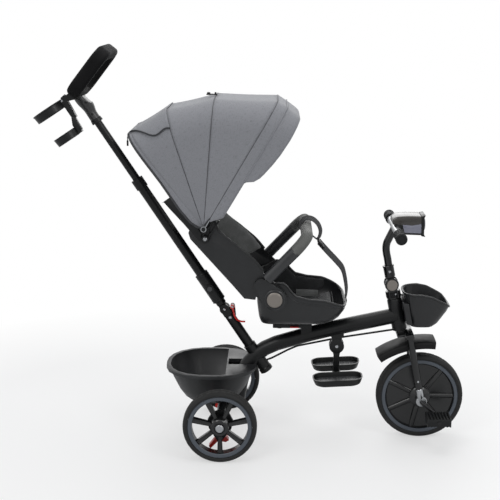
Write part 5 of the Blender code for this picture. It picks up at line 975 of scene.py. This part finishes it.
def webbing(bm, line, half, thickness, steps=8):
    """A band of webbing: a side-view line drawn across, with its own UV map in metres."""
    uv = bm.loops.layers.uv.verify()
    run_of = bm.verts.layers.float.new("run")
    chain = [bm.verts.new(point - ACROSS * half) for point in line]
    run = 0.0
    for vert, last in zip(chain, chain[:1] + chain):
        run += (vert.co - last.co).length
        vert[run_of] = run
    edges = [bm.edges.new(pair) for pair in zip(chain, chain[1:])]
    for _ in range(steps):
        verts, edges, _ = parted(bmesh.ops.extrude_edge_only(bm, edges=edges))
        bmesh.ops.translate(bm, verts=verts, vec=ACROSS * 2 * half / steps)
    bmesh.ops.recalc_face_normals(bm, faces=bm.faces)
    for face in bm.faces:
        for loop in face.loops:
            loop[uv].uv = (loop.vert[run_of], loop.vert.co.y)
    bmesh.ops.solidify(bm, geom=bm.faces, thickness=thickness)


STRAP_HALF = 0.015
STRAP_THICK = 0.0022
web = woven("black_ribbed_webbing", "151617", "28292b", 0.0016, 0.0004, 0.8)
loop = [(0.274, 0.58), (0.281, 0.592), (0.2835, 0.61), (0.276, 0.631), (0.26, 0.647), (0.242, 0.652)]
loop += [(0.225, 0.6455), (0.2165, 0.628), (0.2185, 0.611), (0.23, 0.602), (0.246, 0.5985), (0.2725, 0.579)]
bm = bmesh.new()
webbing(bm, flowing([side(*p) for p in loop], 5), STRAP_HALF, STRAP_THICK)
around = side(0.236, 0.62)
for vert in bm.verts:
    flare = 0.88 + 7 * vert.co.y
    vert.co.x = around.x + (vert.co.x - around.x) * flare
    vert.co.z = around.z + (vert.co.z - around.z) * flare
piece("strap_loop", bm, "bar_body", "webbing", web)
down = [(0.2735, 0.58), (0.3, 0.5505), (0.324, 0.525), (0.342, 0.502), (0.3505, 0.47), (0.354, 0.445)]
down += [(0.3545, 0.433), (0.353, 0.418), (0.35, 0.403)]
bm = bmesh.new()
webbing(bm, flowing([side(*p) for p in down], 5), STRAP_HALF, STRAP_THICK)
for vert in bm.verts:
    vert.co += Vector((0.75, 0, 0.66)) * 0.36 * vert.co.y
strap = piece("strap", bm, None, "webbing", web, stands_for=("crotch_strap",))
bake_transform(strap)
bm = bmesh.new()
at = Matrix.Translation(side(0.276, 0.577)) @ Matrix.Rotation(radians(47), 4, "Y")
block(bm, (0.018, 0.04, 0.007), at, 0.002)
block(bm, (0.01, 0.044, 0.0045), at @ Matrix.Translation((0.012, 0, 0)), 0.0015)
piece("strap_buckle", bm, "bar_body", "black_plastic", black_pp)
bm = bmesh.new()
at = Matrix.Translation(side(0.3505, 0.406)) @ Matrix.Rotation(radians(102), 4, "Y")
block(bm, (0.016, 0.037, 0.006), at, 0.002)
piece("strap_anchor", bm, "seat_body", "black_plastic", black_pp)

# Canopy wires. Four bright spring-steel bows turn on one hub pin each side. Black moulded covers and stays,
# bolted through the backrest's wings, hold the pins and the rear bow's feet.
dress(black_pp, "black_plastic", "canopy_mount")
dress(zinc, "bright_steel", "canopy_bow_2", "canopy_bow_3", "canopy_bow_4")
CANOPY_HUB = side(-0.042, 0.648)
bm = bmesh.new()
cover = [(-0.053, 0.645), (-0.049, 0.611), (-0.04, 0.605), (-0.03, 0.611), (-0.026, 0.64), (-0.031, 0.656)]
cover += [(-0.044, 0.659)]
for hand in (-1, 1):
    plate(bm, [side(*c) for c in cover], hand * 0.1436, hand * 0.149, 0.0022, 3)
piece("mount_covers", bm, "back_body", "black_plastic", black_pp)
head = [(0.0, 0.0036), (0.003, 0.0034), (0.0052, 0.002), (0.0058, 0.0), (0.0, 0.0)]
places = [(side(-0.039, 0.619, hand * 0.149), ACROSS * hand) for hand in (-1, 1)]
heads("mount_bolts", "back_body", "bright_steel", zinc, head, places)
stay = [(-0.1551, 0.715), (-0.129, 0.734), (-0.088, 0.691), (-0.06, 0.653), (-0.044, 0.6205), (-0.056, 0.611)]
stay += [(-0.07, 0.628), (-0.096, 0.659), (-0.129, 0.695), (-0.149, 0.718)]
dome = [(0.0, 0.0024), (0.004, 0.0022), (0.0058, 0.0), (0.0, 0.0)]
bm = bmesh.new()
for hand in (-1, 1):
    plate(bm, [side(*c) for c in stay], hand * 0.149, hand * 0.153, 0.0014, 3)
    for foot, head in (((-0.0312, 0.6205), (-0.001, 0.6695)), ((-0.0446, 0.626), (-0.014, 0.671))):
        swept(bm, [side(*foot, hand * 0.1515), side(*head, hand * 0.1515)], 0.0028, 16)
    swept(bm, [side(-0.039, 0.619, hand * y) for y in (0.148, 0.164)], 0.0095)
    turned(bm, dome, side(-0.0385, 0.6195, hand * 0.164), ACROSS * hand, 32, material=1)
piece("canopy_stays", bm, "back_body", "black_plastic", satin_pp, zinc)

# Canopy cloth. Dark grey heathered polyester in three gores, sewn together over the bows and taut between
# them, with a stiffened visor in front. The weave is 0.4 mm in the real cloth and is drawn at 1.3 mm to show.
BOW_ANGLES = [radians(a) for a in (128.6, 108.0, 85.4, 59.5)]
BOW_REACH = (0.314, 0.321, 0.336, 0.383)
BOW_HALF = [0.1485 + 0.0062 * k for k in range(4)]
BOW_CORNER = 0.075
CLOTH_START = 0.007
# What a UV map takes as the width of one place along a bow and as the depth of a gore, in metres
PLACE_GAP = 0.0165
GORE_DEPTH = 0.13
canopy_cloth = woven("heathered_polyester_cloth", "67686c", "85868b", 0.0013, 0.0003, 0.85, Sheen_Weight=0.25)


def bow_line(index, extra, legs=24):
    """(distance from the hub, y) along a bow from its left leg to its right, grown by extra."""
    bend = BOW_REACH[index] - BOW_CORNER
    half = BOW_HALF[index]
    line = [(CLOTH_START + (bend - CLOTH_START) * k / legs, half + extra) for k in range(legs)]
    for k in range(13):
        turn = pi / 2 * k / 12
        reach = BOW_CORNER + extra
        line.append((bend + reach * sin(turn), half - BOW_CORNER + reach * cos(turn)))
    line += [(bend + BOW_CORNER + extra, (half - BOW_CORNER) * (1 - k / 6)) for k in range(1, 6)]
    return line + [(BOW_REACH[index] + extra, 0)] + [(r, -y) for r, y in reversed(line)]


def on_bow(index, along, y, behind=0.0):
    """A point in the bow's own plane, or behind it."""
    angle = BOW_ANGLES[index]
    ahead = Vector((cos(angle), 0, sin(angle)))
    return CANOPY_HUB + ahead * along + Vector((-sin(angle), 0, cos(angle))) * behind + ACROSS * y


def ripple(share, along):
    """How far the taut cloth draws in between two bows, with slight puckers along the seams."""
    hollow = 0.0018 * sin(pi * share) * min(1, (along - CLOTH_START) / 0.16)
    pucker = 0.0007 * sin(along * 210) * (abs(share - 0.5) * 2) ** 4
    return hollow + pucker


def between(line, place):
    """The point at a fractional place along a bow's line."""
    step = min(int(place), len(line) - 2)
    return Vector(line[step]).lerp(Vector(line[step + 1]), place - step)


def begins(start, share):
    """How many places in from the hub the cloth begins, at a share of the way between its bows."""
    return between([(0, places) for places in start], share * (len(start) - 1)).y


def on_cloth(index, lines, place, share):
    """A point of the cloth at a place along its two bows' lines and a share of the way between them."""
    low, high = (between(line, place) for line in lines)
    spot = on_bow(index, *low).lerp(on_bow(index + 1, *high), share)
    inward = (CANOPY_HUB + ACROSS * spot.y * 0.55 - spot).normalized()
    return spot + inward * ripple(share, low.x)


def gore(name, index, extra, steps=14, start=(0, 0)):
    """The cloth between two bows and its area: the rear bow's line is spun round the hub, then pulled to the
    front bow's."""
    lines = bow_line(index, extra), bow_line(index + 1, extra)
    bm = bmesh.new()
    column_of = bm.verts.layers.int.new("column")
    share_of = bm.verts.layers.float.new("share")
    run_of = bm.verts.layers.float.new("run")
    uv = bm.loops.layers.uv.new("UVMap")
    last = len(lines[0]) - 1
    chain = [bm.verts.new(on_bow(index, *point)) for point in lines[0]]
    edges = [bm.edges.new(pair) for pair in zip(chain, chain[1:])]
    for column, vert in enumerate(chain):
        vert[column_of] = column
    swing = BOW_ANGLES[index] - BOW_ANGLES[index + 1]
    bmesh.ops.spin(bm, geom=chain + edges, cent=CANOPY_HUB, axis=ACROSS, angle=swing, steps=steps)
    for vert in bm.verts:
        arm = vert.co - CANOPY_HUB
        share = min(max((BOW_ANGLES[index] - atan2(arm.z, arm.x)) / swing, 0), 1)
        begin = begins(start, share)
        place = begin + (last - 2 * begin) * vert[column_of] / last
        vert.co = on_cloth(index, lines, place, share)
        vert[share_of] = share
        vert[run_of] = place * PLACE_GAP
    for face in bm.faces:
        for loop in face.loops:
            loop[uv].uv = (loop.vert[run_of], loop.vert[share_of] * GORE_DEPTH)
    bmesh.ops.recalc_face_normals(bm, faces=bm.faces)
    area = sum(face.calc_area() for face in bm.faces)
    bm.faces.ensure_lookup_table()
    middle = bm.faces[len(bm.faces) // 2]
    if middle.normal.dot(middle.calc_center_median() - CANOPY_HUB) < 0:
        bmesh.ops.reverse_faces(bm, faces=bm.faces)
    bmesh.ops.solidify(bm, geom=bm.faces, thickness=0.0016)
    return piece(name, bm, None, "canopy_fabric", canopy_cloth, crease=180), area


BOW_BODIES = ("back_body", "canopy_bow_2_body", "canopy_bow_3_body", "canopy_bow_4_body")


def hang(cloth):
    """Bakes the cloth's placement into its mesh."""
    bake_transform(cloth)


# How many places in from the hub each gore begins, from its rear bow to its front one
TIP_STARTS = ((0, 0), (0, 0), (0, 0.2, 1.0, 2.3))
CLOTH_OUT = 0.0055
for index, name in enumerate(("rear", "mid", "front")):
    panel, area = gore(f"canopy_cloth_{name}", index, CLOTH_OUT, start=TIP_STARTS[index])
    hang(panel)
    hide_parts(f"canopy_panel_{name}")

# Rear hem of the canopy. A strip of the cloth hangs free behind the rear bow, widest beside the hub, and is
# bound along its edge with black tape.
piping = finish("dark_polyester_binding", "303133", "3a3b3e", 0.8, 0.0007, 0.00015)
REAR_HEM = ((0, 0), (0.012, 0.011), (0.034, 0.0185), (0.079, 0.0195), (0.17, 0.012), (0.257, 0.009),
            (0.5, 0.008))


def bordered(name, index, line, rows, place_of, body, node=()):
    """Cloth sewn to a bow and carried out row by row. Gives back the piece and its area."""
    bm = bmesh.new()
    uv = bm.loops.layers.uv.new("UVMap")
    column_of = bm.verts.layers.int.new("column")
    run_of = bm.verts.layers.float.new("run")
    chain = [bm.verts.new(on_bow(index, *point)) for point in line]
    for column, vert in enumerate(chain):
        vert[column_of] = column
    edges = [bm.edges.new(pair) for pair in zip(chain, chain[1:])]
    for row in rows:
        verts, edges, _ = parted(bmesh.ops.extrude_edge_only(bm, edges=edges))
        for vert in verts:
            vert.co, vert[run_of] = place_of(row, *line[vert[column_of]])
    for face in bm.faces:
        for loop in face.loops:
            loop[uv].uv = (loop.vert[column_of] * 0.0075, loop.vert[run_of])
    bmesh.ops.recalc_face_normals(bm, faces=bm.faces)
    area = sum(face.calc_area() for face in bm.faces)
    bmesh.ops.solidify(bm, geom=bm.faces, thickness=0.0018)
    return piece(name, bm, body, "canopy_fabric", canopy_cloth, stands_for=node, crease=60), area


def rear_spot(row, along, y):
    depth = across_table(REAR_HEM, along)[1] * row
    return on_bow(0, along, y, depth), depth


line = bow_line(0, CLOTH_OUT, 48)
hem, area = bordered("canopy_rear_hem", 0, line, (0.3, 0.65, 1.0), rear_spot, "back_body")
bm = bmesh.new()
swept(bm, [rear_spot(1, along, y)[0] for along, y in line], 0.0032, 10)
piece("canopy_rear_tape", bm, "back_body", "webbing", piping)

# Window flap of the canopy. A second layer of the cloth over the rear gore, bound in black along its sides,
# that rolls up over a mesh window.
FLAP_START = (34.5, 34.0, 33.0, 31.7, 30.4, 29.2, 28.4, 28.0, 27.95, 28.1, 28.2, 28.0, 27.6)
flap, area = gore("canopy_flap", 0, CLOTH_OUT + 0.003, steps=18, start=FLAP_START)
hang(flap)

# Seam piping of the canopy. A thin dark cord is sewn in along each moving bow, and black tape binds the
# cloth's lower tips and the sides of the flap.
for index in range(1, 4):
    bm = bmesh.new()
    swept(bm, [on_bow(index, *point) for point in bow_line(index, CLOTH_OUT + 0.0001)], 0.0006, 10)
    piece(f"canopy_piping_{index + 1}", bm, BOW_BODIES[index], "webbing", piping)


def bound_edge(name, index, start, hand, extra, count):
    """Tape round a side edge of the cloth between two bows."""
    sides = 10
    lines = bow_line(index, extra), bow_line(index + 1, extra)
    shares = [step / count for step in range(count + 1)]
    points = []
    for share in shares:
        place = begins(start, share)
        points.append(on_cloth(index, lines, len(lines[0]) - 1 - place if hand else place, share))
    bm = bmesh.new()
    swept(bm, points, 0.0021, sides)
    tape = piece(name, bm, None, "webbing", piping)
    share_of = tape.data.attributes.new("share", "FLOAT", "POINT")
    share_of.data.foreach_set("value", [share for share in shares for _ in range(sides)])
    hang(tape)


for hand in (0, 1):
    bound_edge(f"flap_binding_{hand + 1}", 0, FLAP_START, hand, CLOTH_OUT + 0.0034, 12)
for index in range(3):
    for hand in (0, 1):
        name = f"canopy_tip_{index + 1}_{hand + 1}"
        bound_edge(name, index, TIP_STARTS[index], hand, CLOTH_OUT + 0.0002, 8)

# Visor. Two layers of the canopy cloth over a plastic stiffener, sewn to the front bow, with the hem turned
# in. Each row says how far out it lies, how far it falls and how far it is turned in, as shares.
ROWS = ((0.02, 0, 0), (0.25, 0.12, 0), (0.5, 0.35, 0), (0.74, 0.66, 0), (0.9, 0.9, 0.05), (0.98, 1, 0.18))
ROWS += ((1.0, 1, 0.36), (1.0, 1, 0.58), (0.98, 1, 0.8), (0.95, 1, 1.0))
VISOR_EDGE = ((0.03, 0.006), (0.055, 0.0295), (0.09, 0.03), (0.165, 0.0305), (0.17, 0.036), (0.178, 0.05))
VISOR_EDGE += ((0.1945, 0.0605), (0.2116, 0.066), (0.2417, 0.0722), (0.2752, 0.0768), (0.3224, 0.0788),
               (0.45, 0.077))


def visor_spot(row, along, y):
    forward, fall, turned_in = row
    crown = min(max((along - BOW_REACH[3] + BOW_CORNER) / BOW_CORNER, 0), 1)
    out = min(max((along - 0.165) / 0.05, 0), 1)
    depth = across_table(VISOR_EDGE, along)[1] * forward
    drop = (0.006 * fall + 0.026 * turned_in) * crown
    pull = 1 - (0.02 * fall + 0.09 * turned_in) * out * (1 - crown)
    return on_bow(3, along - drop, y * pull, -depth + 0.004 * turned_in * out), depth + 0.034 * turned_in


line = [spot for spot in bow_line(3, CLOTH_OUT, 56) if spot[0] > 0.028]
stood_for = ("canopy_visor",)
visor, area = bordered("canopy_visor_cloth", 3, line, ROWS, visor_spot, "canopy_bow_4_body", stood_for)

# Visor seam, rear zip pull and top hook. The hem's seam is a ridge of doubled cloth; the zip's puller and the
# hook for the rolled-up flap are small black mouldings on tabs of webbing.
bm = bmesh.new()
seam = [(along, y) for along, y in line if along > 0.15]
swept(bm, [on_bow(3, along + 0.0004, y * 1.001, -0.0285) for along, y in seam], 0.0013, 8)
piece("visor_seam", bm, "canopy_bow_4_body", "canopy_fabric", canopy_cloth)
bm = bmesh.new()
hook = on_bow(2, BOW_REACH[2] + 0.009, 0.0) + Vector((-0.012, 0, 0))
block(bm, (0.03, 0.016, 0.003), hook, 0.0012)
block(bm, (0.009, 0.013, 0.0055), hook + Vector((-0.009, 0, 0.003)), 0.0015)
block(bm, (0.005, 0.013, 0.006), hook + Vector((0.01, 0, 0.003)), 0.0015)
piece("canopy_hook", bm, "canopy_bow_3_body", "black_plastic", black_pp)
bm = bmesh.new()
pull = side(-0.2485, 0.8935, -0.1)
swept(bm, [pull + Vector(step) for step in ((0.003, 0, 0), (0, 0, -0.008), (0, 0, -0.018))], 0.0012, 8)
block(bm, (0.005, 0.003, 0.015), pull + Vector((0, 0, -0.024)), 0.0012)
piece("zip_pull", bm, "back_body", "black_plastic", black_pp)

# Push pole. Two black powder-coated tubes, one inside the other, above a lower tube that turns in the socket;
# a moulded clamp collar with its grey button, bright pins at the fold, and a red wire lever that unlocks it.
dress(powder_coat, "painted_steel", "lower_pole", "outer_pole", "inner_pole", "link_rod")
dress(satin_pp, "black_plastic", "clamp_collar")
dress(tray_light_and_button_grey, "grey_plastic", "clamp_button")
dress(red_abs, "red_plastic", "fold_lever")
pin = [(0.0, 0.0018), (0.0028, 0.0015), (0.0042, 0.0), (0.0, 0.0)]
flush = [(0.0, 0.0005), (0.0036, 0.0004), (0.0042, 0.0), (0.0, 0.0)]
for name, profile, up, out in (("fold_pin_heads", pin, 0.162, 0.0141),
                               ("lower_pole_rivets", flush, 0.133, 0.0142)):
    places = [(on_pole(up, 0, hand * out), ACROSS * hand) for hand in (-1, 1)]
    heads(name, "lower_pole_body", "bright_steel", zinc, profile, places)
rivet = [(0.0, 0.0016), (0.0026, 0.0013), (0.004, 0.0), (0.0, 0.0)]
heads("lever_rivet", "lever_body", "bright_steel", zinc, rivet, [(side(0.0285, 0.3905, -0.0196), -ACROSS)])
bm = bmesh.new()
for up in (0.1925, 0.2, 0.276, 0.2835):
    swept(bm, round_points(on_pole(up), POLE_UP, 0.0188, 48), 0.001, 8)
piece("clamp_ribs", bm, "outer_pole_body", "black_plastic", satin_pp)

# Handle. A flattened loop wrapped in black artificial leather, which is matt with a coarse pebbled grain, and
# sewn along its inner side with an overcast seam.
leather = finish("black_artificial_leather", "0b0b0c", "101011", 0.78, 0.0021, 0.0003,
                 Specular_IOR_Level=0.12)
LOOP_CENTRE = side(-0.353, 1.055)
LOOP_PLACE = Matrix.Translation(LOOP_CENTRE) @ Matrix.Rotation(radians(-52), 4, "Y")
LOOP_ALONG, _, LOOP_UP = LOOP_PLACE.to_3x3().col
LOOP_THICK = 0.038


def loop_line(half_length, half_width, corner, height=0.0, per=10):
    """A closed rounded rectangle in the handle's plane, at a height out of it."""
    line = []
    for index, (sx, sy) in enumerate(((1, 1), (-1, 1), (-1, -1), (1, -1))):
        for step in range(per + 1):
            turn = pi / 2 * (index + step / per)
            x = sx * (half_length - corner) + corner * cos(turn)
            y = sy * (half_width - corner) + corner * sin(turn)
            line.append(LOOP_PLACE @ Vector((x, y, height)))
    return line


bm = bmesh.new()
around = []
for sizes in ((0.0795, 0.11, 0.046), (0.05, 0.08, 0.028)):
    line = [bm.verts.new(p) for p in loop_line(*sizes, -LOOP_THICK / 2)]
    around += [bm.edges.new(pair) for pair in zip(line, line[1:] + line[:1])]
face = bmesh.ops.bridge_loops(bm, edges=around)["faces"]
top = parted(bmesh.ops.extrude_face_region(bm, geom=face))[0]
bmesh.ops.translate(bm, verts=top, vec=LOOP_UP * LOOP_THICK)
bmesh.ops.recalc_face_normals(bm, faces=bm.faces)
rims = [edge for edge in bm.edges if len(edge.link_faces) == 2 and edge.calc_face_angle() > 1.2]
rounded(bm, rims, 0.01, 6, clamp=True)
piece("handle_leather", bm, "inner_pole_body", "padded_wrap", leather, stands_for=("handle_loop",), crease=60)
bm = bmesh.new()
seam = loop_line(0.0502, 0.0802, 0.028)
swept(bm, seam + seam[:1], 0.0011, 8, wave=0.14)
piece("handle_seam", bm, "inner_pole_body", "padded_wrap", binding)

# Handle neck. Two grey moulded halves screwed together round the tube's top and the loop's lower bar, with a
# stepped collar below.
# Fine spark-eroded grain: dark grey with a satin sheen
neck_paint = finish("grey_satin_neck_plastic", "2e2e2f", "363637", 0.34, 0.0009, 0.00003)
# Places up the neck, with their half depth, half width and how far they have turned to the loop's plane
NECK = ((on_pole(0.801), (0.0146, 0.015, 0)), (on_pole(0.826), (0.0143, 0.0154, 0)))
NECK += ((side(-0.3659, 0.9523), (0.0165, 0.0182, 0.2)), (side(-0.379, 0.97), (0.024, 0.024, 0.5)))
NECK += ((side(-0.384, 0.98), (0.027, 0.0275, 0.75)), (LOOP_CENTRE - LOOP_ALONG * 0.068, (0.018, 0.029, 1)))
spots, sizes = (flowing(column, 5) for column in zip(*NECK))
bm = bmesh.new()
ring = bmesh.ops.create_circle(bm, cap_ends=True, segments=48, radius=1)["verts"]
edges = list({edge for vert in ring for edge in vert.link_edges})
flat = [vert.co.copy() for vert in ring]
for number, (spot, (half_depth, half_width, share)) in enumerate(zip(spots, sizes)):
    if number:
        ring, edges = next_ring(bm, ring, edges)
    forward = POLE_FORWARD.lerp(-LOOP_UP, min(max(share, 0), 1)).normalized()
    for vert, place in zip(ring, flat):
        vert.co = spot + forward * half_depth * place.x + ACROSS * half_width * place.y
bmesh.ops.contextual_create(bm, geom=edges)
piece("neck_shell", bm, "inner_pole_body", "grey_plastic", neck_paint, stands_for=("handle_neck",), crease=60)
collar = [(0.0113, 0.799), (0.016, 0.799), (0.0166, 0.7998), (0.0166, 0.8045), (0.016, 0.8052)]
collar += [(0.0156, 0.811), (0.0113, 0.811)]
heads("neck_collar", "inner_pole_body", "black_plastic", satin_pp, collar, [(on_pole(0), POLE_UP)], 64)
screw = [(0.0, 0.0012), (0.0026, 0.0012), (0.0032, 0.0004), (0.0032, -0.002), (0.0, -0.002)]
places = [(on_pole(0.826, 0.002, -0.0158), -ACROSS), (on_pole(0.862, 0.008, -0.0245), -ACROSS)]
heads("neck_screws", "inner_pole_body", "black_plastic", satin_pp, screw, places, 24)

# Cup holder. A black ring on a spine with a small tray under it, moulded in one. It is hinged on a bracket
# that clips the loop's bar.
dress(satin_pp, "black_plastic", "cup_bracket", "cup_holder")
CUP_HINGE = side(-0.431, 0.983, -0.046)


def on_cup(up, out, y=0.0):
    return CUP_HINGE + POLE_UP * up - POLE_FORWARD * out + ACROSS * y


bm = bmesh.new()
for up, reach, radius, sides in ((-0.001, 0.0452, 0.0022, 10), (-0.021, 0.0432, 0.0014, 8),
                                 (-0.0825, 0.035, 0.0016, 8)):
    swept(bm, round_points(on_cup(up, 0.0488), POLE_UP, reach, 64), radius, sides)
arm = ((-0.407, 0.9351), (-0.3968, 0.9351), (-0.3778, 0.9008), (-0.3899, 0.8926), (-0.4043, 0.9103))
plate(bm, [side(*c) for c in arm], -0.057, -0.035, 0.003, 3)
piece("cup_rings", bm, "cup_body", "black_plastic", satin_pp)
bm = bmesh.new()
swept(bm, [on_cup(-0.004, 0.003, y) for y in (-0.0115, 0.0115)], 0.0034, 24)
piece("cup_hinge_pin", bm, "inner_pole_body", "bright_steel", zinc)

# Room: a pale sweep under and behind the tricycle, soft studio light from above and both sides, and the
# photograph's camera. White comes from the paper's and the world's own colour.
scene = bpy.context.scene
scene.view_settings.view_transform = "Standard"
studio = bpy.data.worlds.new("studio")
scene.world = studio
studio.use_nodes = True
dim = studio.node_tree.nodes["Background"]
dim.inputs["Color"].default_value = linear("eef1f4")
dim.inputs["Strength"].default_value = 0.42
seen = wire(studio, "ShaderNodeLightPath")
rays = seen["Is Camera Ray"]
for kind in ("Is Glossy Ray", "Is Transmission Ray"):
    rays = wire(studio, "ShaderNodeMath", {0: rays, 1: seen[kind]}, operation="MAXIMUM")["Value"]
white = wire(studio, "ShaderNodeBackground", {"Color": (1, 1, 1, 1)})["Background"]
sky = wire(studio, "ShaderNodeMixShader", {"Fac": rays, 1: dim.outputs["Background"], 2: white})["Shader"]
studio.node_tree.links.new(sky, studio.node_tree.nodes["World Output"].inputs["Surface"])
bm = bmesh.new()
bmesh.ops.create_grid(bm, x_segments=1, y_segments=1, size=14)
floor = stood("floor", bm)
paper = blank("white_paper", 0.7, {"Base Color": linear("f2f2f2")})
shader = paper.node_tree.nodes["Principled BSDF"]
shader = paper.node_tree.nodes["Principled BSDF"]
place = wire(paper, "ShaderNodeTexCoord")["Object"]
away = wire(paper, "ShaderNodeVectorMath", {0: place, 1: (-0.2, 0, 0)}, operation="DISTANCE")["Value"]
fade = wire(paper, "ShaderNodeMapRange", {"Value": away, "From Min": 0.75, "From Max": 1.35})["Result"]
looked = wire(paper, "ShaderNodeLightPath")["Is Camera Ray"]
lifted = wire(paper, "ShaderNodeMapRange", {"Value": fade, "To Min": 0.55, "To Max": 1.0})["Result"]
blank = wire(paper, "ShaderNodeMath", {0: lifted, 1: looked}, operation="MULTIPLY")["Value"]
glow = wire(paper, "ShaderNodeEmission", {"Color": (1, 1, 1, 1), "Strength": 1.0})["Emission"]
surface = shader.outputs["BSDF"]
mixed = wire(paper, "ShaderNodeMixShader", {"Fac": blank, 1: surface, 2: glow})["Shader"]
paper.node_tree.links.new(mixed, paper.node_tree.nodes["Material Output"].inputs["Surface"])
floor.data.materials.append(paper)
SOFTBOXES = (
    ((-1.3, -2.0, 2.5), 1.1, 20),
    ((1.8, -1.8, 2.2), 0.9, 16),
    ((0.0, 0.4, 3.0), 2.0, 28),
    ((0.4, 2.4, 1.6), 1.6, 14),
)
for place, size, power in SOFTBOXES:
    lamp = bpy.data.lights.new("softbox", "AREA")
    lamp.energy = power
    lamp.size = size
    held = bpy.data.objects.new("softbox", lamp)
    held.location = place
    held.rotation_euler = (Vector((0, 0, 0.5)) - Vector(place)).to_track_quat("-Z", "Y").to_euler()
    scene.collection.objects.link(held)
lens = bpy.data.cameras.new("photograph")
lens.lens = 79.29
lens.sensor_width = 36
camera = bpy.data.objects.new("photograph", lens)
camera.location = (0.05955, -3.04074, 1.25857)
camera.rotation_euler = (radians(90 - 13.056), 0, radians(1.387))
scene.collection.objects.link(camera)
scene.camera = camera
